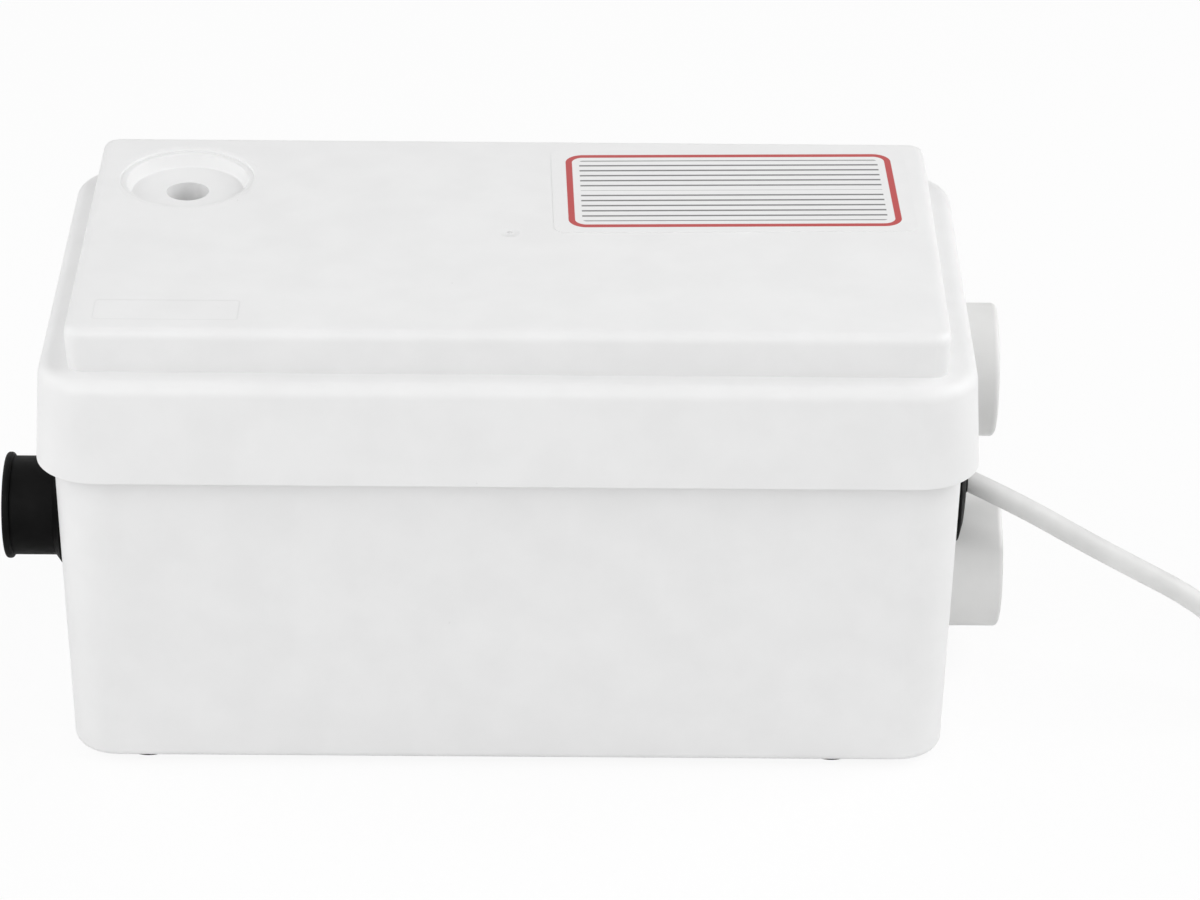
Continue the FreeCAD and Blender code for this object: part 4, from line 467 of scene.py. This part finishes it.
def moulded_case(settings, name, marked):
    """The case's white plastic: clouds, a fine grain, sparse specks, and on the lid its own marks.

    The marks are the moulding gate, a dish by its distance from a point, and a bare film's outline.
    """
    material, tree, point = new_material(name)
    broad = add(tree, "TexNoise", {"Vector": point, "Scale": 1 / (18 * MM), "Detail": 3.0})["Fac"]
    clouds = add(tree, "MapRange", {"Value": broad, "From Min": 0.35, "From Max": 0.65})[0]
    shades = {0: clouds, 6: linear(settings.white), 7: linear(settings.shade)}
    colour = add(tree, "Mix", shades, data_type="RGBA")[2]
    uneven = add(tree, "TexNoise", {"Vector": point, "Scale": 1 / (14 * MM)})["Fac"]
    range_of = {"Value": uneven, "From Min": 0.3, "From Max": 0.7}
    rough = settings.roughness
    gloss = add(tree, "MapRange", {**range_of, "To Min": rough - 0.05, "To Max": rough + 0.05})[0]
    # Specks: a grey grain about 0.4 mm across in one cell of 9 mm out of eight.
    cells = add(tree, "TexVoronoi", {"Vector": point, "Scale": 1 / (9 * MM)})
    chosen = add(tree, "SeparateColor", {"Color": cells["Color"]})["Red"]
    here = add(tree, "MapRange", {"Value": chosen, "From Min": 0.87, "From Max": 0.88})[0]
    near = {"Value": cells["Distance"], "From Min": 0.035, "From Max": 0.012, "To Max": 0.35}
    grain = add(tree, "MapRange", near)[0]
    speck = add(tree, "Math", {0: grain, 1: here}, operation="MULTIPLY")[0]
    colour = add(tree, "Mix", {0: speck, 6: colour, 7: linear("8C8C8A")}, data_type="RGBA")[2]
    fine = add(tree, "TexNoise", {"Vector": point, "Scale": 1 / (0.7 * MM)})["Fac"]
    relief = add(tree, "Bump", {"Height": fine, "Distance": 0.012 * MM})[0]
    if marked:
        # The moulding gate's shallow dish, 6.5 mm across, with its nib in the middle.
        place = {"Vector": point, "Location": GATE_PLACE}
        place = add(tree, "Mapping", place, vector_type="TEXTURE")[0]
        reach = add(tree, "VectorMath", {0: place}, operation="LENGTH")["Value"]
        dish = add(tree, "MapRange", {"Value": reach, "From Min": 1.4 * MM, "From Max": 3.3 * MM})[0]
        nib = add(tree, "MapRange", {"Value": reach, "From Min": 0.9 * MM, "From Max": 0.3 * MM})[0]
        gate = add(tree, "Math", {0: dish, 1: nib}, operation="ADD")[0]
        # A bare clear film at the front left: a faint raised outline.
        place = {"Vector": point, "Location": BARE_FILM_PLACE}
        place = add(tree, "Mapping", place, vector_type="TEXTURE")[0]
        outline = outside_of(tree, place, *BARE_FILM_SIZE, 1.2 * MM)
        film = add(tree, "MapRange", {"Value": outline, "From Min": 0.12 * MM, "From Max": -0.12 * MM})[0]
        away = add(tree, "Math", {0: outline}, operation="ABSOLUTE")[0]
        faint = {"Value": away, "From Min": 0.45 * MM, "From Max": 0.10 * MM, "To Max": 0.12}
        rim = add(tree, "MapRange", faint)[0]
        for height, depth in ((gate, 0.45), (film, 0.08)):
            raised = {"Height": height, "Distance": depth * MM, "Normal": relief}
            relief = add(tree, "Bump", raised)[0]
        colour = add(tree, "Mix", {0: rim, 6: colour, 7: linear("B8B8B8")}, data_type="RGBA")[2]
    surface = {"Base Color": colour, "Roughness": gloss, "Normal": relief, "IOR": 1.52}
    add(tree, "OutputMaterial", {"Surface": add(tree, "BsdfPrincipled", surface)[0]})
    return material


def make_case(settings):
    """The finishes of the tank, the lid and the two inlet caps."""
    # Injection-moulded ABS: bright satin white, slightly uneven in gloss, with a fine moulded grain.
    dress(moulded_case(settings, "satin_moulded_abs", marked=False), "tank")
    dress(moulded_case(settings, "satin_moulded_abs_lid", marked=True), "lid")
    # Polypropylene caps: softer than the case, and a little greyer, which is painted shade, as their own
    # white is the case's.
    more = {"IOR": 1.49}
    caps = moulded("satin_moulded_polypropylene", "E9E9E8", "E4E4E3", 25, 0.46, 0.8, 0.012, more)
    dress(caps, "upper_inlet_cap", "lower_inlet_cap")


def make_gland_lip(rubber):
    """The gland's rubber lip round the lead, half sunk in the gland.

    It is a ring: a small circle carried round the lead's axis.
    """
    around = np.linspace(0, 2 * np.pi, 64, endpoint=False)[:, None]
    section = np.linspace(0, 2 * np.pi, 20, endpoint=False)[None, :]
    radius = LIP_REACH + LIP_RADIUS * np.cos(section)
    points = np.empty((around.size, section.size, 3))
    points[..., 0] = GLAND_FACE_X + LIP_RADIUS * np.sin(section)
    points[..., 1] = LEAD_ROUTE[0][1] + radius * np.cos(around)
    points[..., 2] = LEAD_ROUTE[0][2] + radius * np.sin(around)
    piece(grid_mesh("gland_lip", points[:, ::-1], ring=True), rubber, ROOT)


def make_rubber():
    """The finishes of the rubber pieces and the silicone membrane, and the gland's lip."""
    # Moulded rubber: almost pure black and matt, with hardly any sheen.
    more = {"Specular IOR Level": 0.08}
    rubber = moulded("moulded_black_rubber", "050505", "0A0A0A", 9, 0.55, 0.5, 0.03, more)
    dress(rubber, "discharge_sleeve", "discharge_hose", "cable_gland", "lid_gasket", "pump_mounts")
    dress(rubber, "upper_inlet_ring", "lower_inlet_ring", "check_flap", "inlet_flap")
    dress(rubber, "foot_front_left", "foot_front_right", "foot_rear_left", "foot_rear_right")
    make_gland_lip(rubber)
    # Silicone sheet: brick red, matt.
    silicone = moulded("silicone_sheet", "8A3A30", "7E342B", 6, 0.55, 0.4, 0.02, {"IOR": 1.41})
    dress(silicone, "pressure_membrane")


def make_pump():
    """The finishes of the pump, the check valve, the hose clips, the screws and the vent filter."""
    # Filled polypropylene: dark grey, matt, cloudy where the flow met.
    grey = moulded("moulded_grey_polypropylene", "54565A", "4B4D51", 16, 0.5, 0.7, 0.03, {"IOR": 1.49})
    dress(grey, "volute_casing", "suction_strainer", "impeller", "check_valve_body", "check_valve_seat")
    dress(grey, "filter_basket", "pressure_bell")
    # Zinc plating: bluish bright, faintly blotched.
    zinc = metal("zinc_plated_steel", "C3C6CA", "AFB3B8", 2.5, 0.3, 0.3, 0.01)
    dress(zinc, "hose_clips", "pump_mount_screws", "motor_tie_bolts", "switch_box_screws")
    # Ceramic seal faces: cream, lapped smooth.
    ceramic = moulded("lapped_ceramic", "DDD6C4", "D4CCB8", 5, 0.22, 0.2, 0.004, {"IOR": 1.76})
    dress(ceramic, "seal_seat", "seal_head")
    # Pressed charcoal: black grains that glint.
    charcoal = moulded("pressed_charcoal", "141414", "262626", 1.2, 0.7, 1.6, 0.6, {"IOR": 1.6})
    dress(charcoal, "filter_charcoal")


def make_motor():
    """The finishes of the motor, its shaft and bearings, and the flaps' pins."""
    # Die-cast aluminium: light grey, dull, with a coarse cast skin.
    cast = metal("die_cast_aluminium", "B7B8BB", "AFB1B4", 5, 0.45, 0.6, 0.05)
    dress(cast, "motor_base", "motor_cover")
    # Drawn aluminium: bright, with draw marks along its axis.
    drawn = metal("drawn_aluminium", "CFD0D2", "C0C2C5", 12, 0.28, 0.35, 0.01, (1, 1, 0.06))
    dress(drawn, "motor_can", "run_capacitor")
    # Ground steel: bright, with fine grinding marks round it.
    ground = metal("ground_steel", "CBCCCE", "BDBFC2", 5, 0.2, 0.15, 0.004, (1, 1, 8))
    dress(ground, "rotor_shaft", "lower_bearing", "upper_bearing", "check_flap_pin", "inlet_flap_pin")
    # Stacked electrical sheet: dark sheets half a millimetre thick, drawn 1 mm so that they show.
    material, tree, point = new_material("stacked_lamination_steel")
    stack = {"Vector": point, "Scale": ONE_BAND / (1.0 * MM), "Distortion": 0.4}
    sheets = add(tree, "TexWave", stack, bands_direction="Z")["Fac"]
    shades = {0: sheets, 6: linear("3A3B3D"), 7: linear("5E6063")}
    colour = add(tree, "Mix", shades, data_type="RGBA")[2]
    relief = add(tree, "Bump", {"Height": sheets, "Distance": 0.1 * MM})[0]
    surface = {"Base Color": colour, "Metallic": 1.0, "Roughness": 0.42, "Normal": relief}
    add(tree, "OutputMaterial", {"Surface": add(tree, "BsdfPrincipled", surface)[0]})
    dress(material, "stator_core", "rotor_core")
    # Enamelled copper: coppery red strands 0.6 mm thick round the stator, drawn 1.2 mm so that they show.
    material, tree, point = new_material("enamelled_copper_wire")
    layers = {"Vector": point, "Scale": ONE_BAND / (1.2 * MM), "Distortion": 1.6, "Detail": 2.0}
    strands = add(tree, "TexWave", layers, bands_direction="Z")["Fac"]
    shades = {0: strands, 6: linear("7A3418"), 7: linear("C26A3C")}
    colour = add(tree, "Mix", shades, data_type="RGBA")[2]
    relief = add(tree, "Bump", {"Height": strands, "Distance": 0.3 * MM})[0]
    surface = {"Base Color": colour, "Metallic": 0.6, "Roughness": 0.3, "Coat Weight": 0.6, "Normal": relief}
    add(tree, "OutputMaterial", {"Surface": add(tree, "BsdfPrincipled", surface)[0]})
    dress(material, "stator_winding")


def make_plunger_spring():
    """The plunger's spring: four turns of wire on a helix.

    The wire's section is a circle across the helix: one way it points out from the spring's axis,
    the other way it stands square to that and to the wire's own direction.
    """
    way = np.linspace(0, 1, 24 * SPRING_TURNS + 1)[:, None]
    angle = 2 * np.pi * SPRING_TURNS * way
    section = np.linspace(0, 2 * np.pi, 12, endpoint=False)[None, :]
    low, high = SPRING_FOOT + SPRING_WIRE, SPRING_TOP - SPRING_WIRE
    slope = np.arctan2(high - low, 2 * np.pi * SPRING_RADIUS * SPRING_TURNS)
    out = SPRING_RADIUS + SPRING_WIRE * np.cos(section)
    aside = SPRING_WIRE * np.sin(section)
    points = np.empty((way.size, section.size, 3))
    points[..., 0] = SPRING_PLACE[0] + out * np.cos(angle) + aside * np.sin(slope) * np.sin(angle)
    points[..., 1] = SPRING_PLACE[1] + out * np.sin(angle) - aside * np.sin(slope) * np.cos(angle)
    points[..., 2] = low + (high - low) * way + aside * np.cos(slope)
    # Drawn spring steel: bright, with faint draw marks.
    steel = metal("drawn_spring_steel", "C6C7C9", "B6B8BB", 3, 0.24, 0.2, 0.003)
    mesh = grid_mesh("compression_spring", points[:, ::-1])
    spring = piece(mesh, steel, ROOT, ("plunger_spring",))
    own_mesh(spring)


def make_switch_box():
    """The finishes of the dry box, what it holds and its leads."""
    # Moulded ABS of the dry box: mid grey, satin.
    shell = moulded("moulded_grey_abs", "A4A6A8", "9A9C9F", 18, 0.45, 0.7, 0.02, {"IOR": 1.52})
    dress(shell, "switch_box", "switch_box_cover", "switch_plunger")
    # Natural nylon: milky, slightly waxy.
    waxy = {"IOR": 1.53, "Subsurface Weight": 0.1}
    nylon = moulded("moulded_nylon", "D9D6CC", "CFCBC0", 8, 0.4, 0.5, 0.02, waxy)
    dress(nylon, "terminal_block", "microswitch", "microswitch_button", "gland_nut")
    # Inner leads: the same white PVC as the mains lead, thinner.
    pvc = moulded("inner_white_pvc", "DCDCDB", "D2D2D1", 8, 0.45, 0.4, 0.01, {"IOR": 1.53})
    dress(pvc, "inner_lead", "motor_lead")


def make_plug_metal(axis_x):
    """The pins' finish, and an earth clip in each side channel of the plug.

    A clip is a strip with an oval section along the channel. It bows out from the channel's floor by
    half a sine of the way along, and its ends narrow to the strip's middle line.
    """
    # Nickel-plated brass: warm bright metal.
    nickel = metal("nickel_plated_brass", "CFCBC2", "C4BFB4", 3, 0.2, 0.2, 0.003)
    dress(nickel, "plug_pins")
    start, length, floor, bow = 33.5 * MM, 16.0 * MM, 16.5 * MM, 0.9 * MM
    half_width, half_thickness = 2.0 * MM, 0.45 * MM
    way = np.linspace(0, 1, 33)[:, None]
    around = np.linspace(0, 2 * np.pi, 24, endpoint=False)[None, :]
    reach = floor + bow * np.sin(np.pi * way)
    swell = np.clip(np.sin(np.pi * way) * 12, 0.001, 1)
    clips = []
    for side in (-1, 1):
        points = np.empty((way.size, around.size, 3))
        points[..., 0] = axis_x + side * (reach + half_thickness * swell * np.cos(around))
        points[..., 1] = PLUG_PLACE_Y + start + length * way
        points[..., 2] = PLUG_RADIUS + side * half_width * swell * np.sin(around)
        mesh = grid_mesh("earth_clip_left" if side < 0 else "earth_clip_right", points[:, ::-1])
        clips.append(piece(mesh, nickel, ROOT))
    return clips


def make_floor(code):
    """A pale floor: seen directly it is mostly plain white, and it keeps a light shadow."""
    far, drop = 8.0, -0.3 * MM
    corners = [(-far, -far, drop), (far, -far, drop), (far, far, drop), (-far, far, drop)]
    mesh = bpy.data.meshes.new("floor")
    mesh.from_pydata(corners, [], [(0, 1, 2, 3)])
    # Matt wall paint: a flat near-white, in very faint clouds.
    material, tree, point = new_material("painted_floor")
    clouds = add(tree, "TexNoise", {"Vector": point, "Scale": 1 / (120 * MM)})["Fac"]
    colour = add(tree, "Mix", {0: clouds, 6: linear(code), 7: linear("F4F4F4")}, data_type="RGBA")[2]
    plain = add(tree, "BsdfDiffuse", {"Color": colour})[0]
    bright = add(tree, "Emission", {"Color": WHITE, "Strength": 1.0})[0]
    seen = add(tree, "Math", {0: add(tree, "LightPath")["Is Camera Ray"], 1: 0.9}, operation="MULTIPLY")[0]
    surface = add(tree, "MixShader", {0: seen, 1: plain, 2: bright})[0]
    add(tree, "OutputMaterial", {"Surface": surface})
    mesh.materials.append(material)
    floor = bpy.data.objects.new("floor", mesh)
    bpy.context.scene.collection.objects.link(floor)


def make_world(sky):
    """Surroundings that light evenly and weakly, and are plain white where they are seen or mirrored."""
    world = bpy.data.worlds.new("white_studio")
    bpy.context.scene.world = world
    world.use_nodes = True
    tree = world.node_tree
    tree.nodes.clear()
    rays = add(tree, "LightPath")
    direct = {0: rays["Is Camera Ray"], 1: rays["Is Glossy Ray"]}
    direct = add(tree, "Math", direct, operation="MAXIMUM")[0]
    seen = add(tree, "Math", {0: direct, 1: rays["Is Transmission Ray"]}, operation="MAXIMUM")[0]
    lit = add(tree, "Background", {"Color": WHITE, "Strength": sky})[0]
    plain = add(tree, "Background", {"Color": WHITE, "Strength": 1.0})[0]
    both = add(tree, "MixShader", {0: seen, 1: lit, 2: plain})[0]
    add(tree, "OutputWorld", {"Surface": both})


def make_softboxes(settings):
    """Square lights round the object, each aimed at its middle."""
    middle = Vector((0, 0, 0.08))
    for name, place, power in (
        ("softbox_right", (1.4, 0.0, 1.2), settings.right),
        ("softbox_left", (-1.4, 0.0, 1.2), settings.left),
        ("softbox_front", (0.2, -1.6, 1.3), settings.front),
        ("softbox_corner", (-1.2, -1.4, 0.9), settings.corner),
        ("softbox_back_right", (1.6, 1.1, 0.8), settings.back),
        ("softbox_back_left", (-1.6, 1.1, 0.8), settings.back),
    ):
        light = bpy.data.lights.new(name, "AREA")
        light.shape = "SQUARE"
        light.size = settings.size
        light.energy = power
        lamp = bpy.data.objects.new(name, light)
        bpy.context.scene.collection.objects.link(lamp)
        turn = (middle - Vector(place)).to_track_quat("-Z", "Y").to_matrix()
        lamp.matrix_world = Matrix.Translation(place) @ turn.to_4x4()


# Operators, one for each piece or group of like pieces.


class PUMP_OT_camera(Operator):
    """Set the camera to the photograph's place and lens"""

    bl_idname = "pump.camera"
    bl_label = "Camera"

    def execute(self, context):
        frame_camera(context.scene.pump.camera)
        return {"FINISHED"}


class PUMP_OT_lead(Operator):
    """Make the mains lead and its plug"""

    bl_idname = "pump.lead"
    bl_label = "Mains Lead"

    def execute(self, context):
        settings = context.scene.pump.lead
        lead, start, axis_x = make_lead(settings)
        plug = make_plug(axis_x)
        clips = make_plug_metal(axis_x)
        return {"FINISHED"}


class PUMP_OT_case(Operator):
    """Finish the tank, the lid and the inlet caps"""

    bl_idname = "pump.case"
    bl_label = "Case"

    def execute(self, context):
        make_case(context.scene.pump.case)
        return {"FINISHED"}


class PUMP_OT_sticker(Operator):
    """Finish the blank sticker on the lid"""

    bl_idname = "pump.sticker"
    bl_label = "Sticker"

    def execute(self, context):
        make_sticker(context.scene.pump.sticker)
        return {"FINISHED"}


class PUMP_OT_rubber(Operator):
    """Finish the rubber pieces"""

    bl_idname = "pump.rubber"
    bl_label = "Rubber Pieces"

    def execute(self, context):
        make_rubber()
        return {"FINISHED"}


class PUMP_OT_pump(Operator):
    """Finish the pump, the valve and the vent filter"""

    bl_idname = "pump.pump"
    bl_label = "Pump and Valve"

    def execute(self, context):
        make_pump()
        return {"FINISHED"}


class PUMP_OT_motor(Operator):
    """Finish the motor"""

    bl_idname = "pump.motor"
    bl_label = "Motor"

    def execute(self, context):
        make_motor()
        return {"FINISHED"}


class PUMP_OT_switch_box(Operator):
    """Finish the switch box and what it holds"""

    bl_idname = "pump.switch_box"
    bl_label = "Switch Box"

    def execute(self, context):
        make_plunger_spring()
        make_switch_box()
        return {"FINISHED"}


class PUMP_OT_stage(Operator):
    """Make the floor, the white surroundings and the softboxes"""

    bl_idname = "pump.stage"
    bl_label = "Stage"

    def execute(self, context):
        settings = context.scene.pump.stage
        context.scene.view_settings.view_transform = "Standard"
        make_floor(settings.floor)
        make_world(settings.sky)
        make_softboxes(settings)
        return {"FINISHED"}


OPERATORS = (
    PUMP_OT_camera,
    PUMP_OT_lead,
    PUMP_OT_case,
    PUMP_OT_sticker,
    PUMP_OT_rubber,
    PUMP_OT_pump,
    PUMP_OT_motor,
    PUMP_OT_switch_box,
    PUMP_OT_stage,
)


class PUMP_PT_panel(Panel):
    """Lists every step of the grey water pump"""

    bl_idname = "PUMP_PT_panel"
    bl_label = "Grey Water Pump"
    bl_space_type = "VIEW_3D"
    bl_region_type = "UI"
    bl_category = "Grey Water Pump"

    def draw(self, context):
        for item in OPERATORS:
            self.layout.operator(item.bl_idname)


CLASSES = (
    CameraSettings,
    StageSettings,
    CaseSettings,
    LeadSettings,
    StickerSettings,
    PumpSettings,
    *OPERATORS,
    PUMP_PT_panel,
)


def register():
    for item in CLASSES:
        bpy.utils.register_class(item)
    Scene.pump = PointerProperty(type=PumpSettings)


def unregister():
    del Scene.pump
    for item in reversed(CLASSES):
        bpy.utils.unregister_class(item)


def main():
    register()
    bpy.ops.pump.camera()
    bpy.ops.pump.lead()
    bpy.ops.pump.case()
    bpy.ops.pump.sticker()
    bpy.ops.pump.rubber()
    bpy.ops.pump.pump()
    bpy.ops.pump.motor()
    bpy.ops.pump.switch_box()
    bpy.ops.pump.stage()


if __name__ == "__main__":
    main()
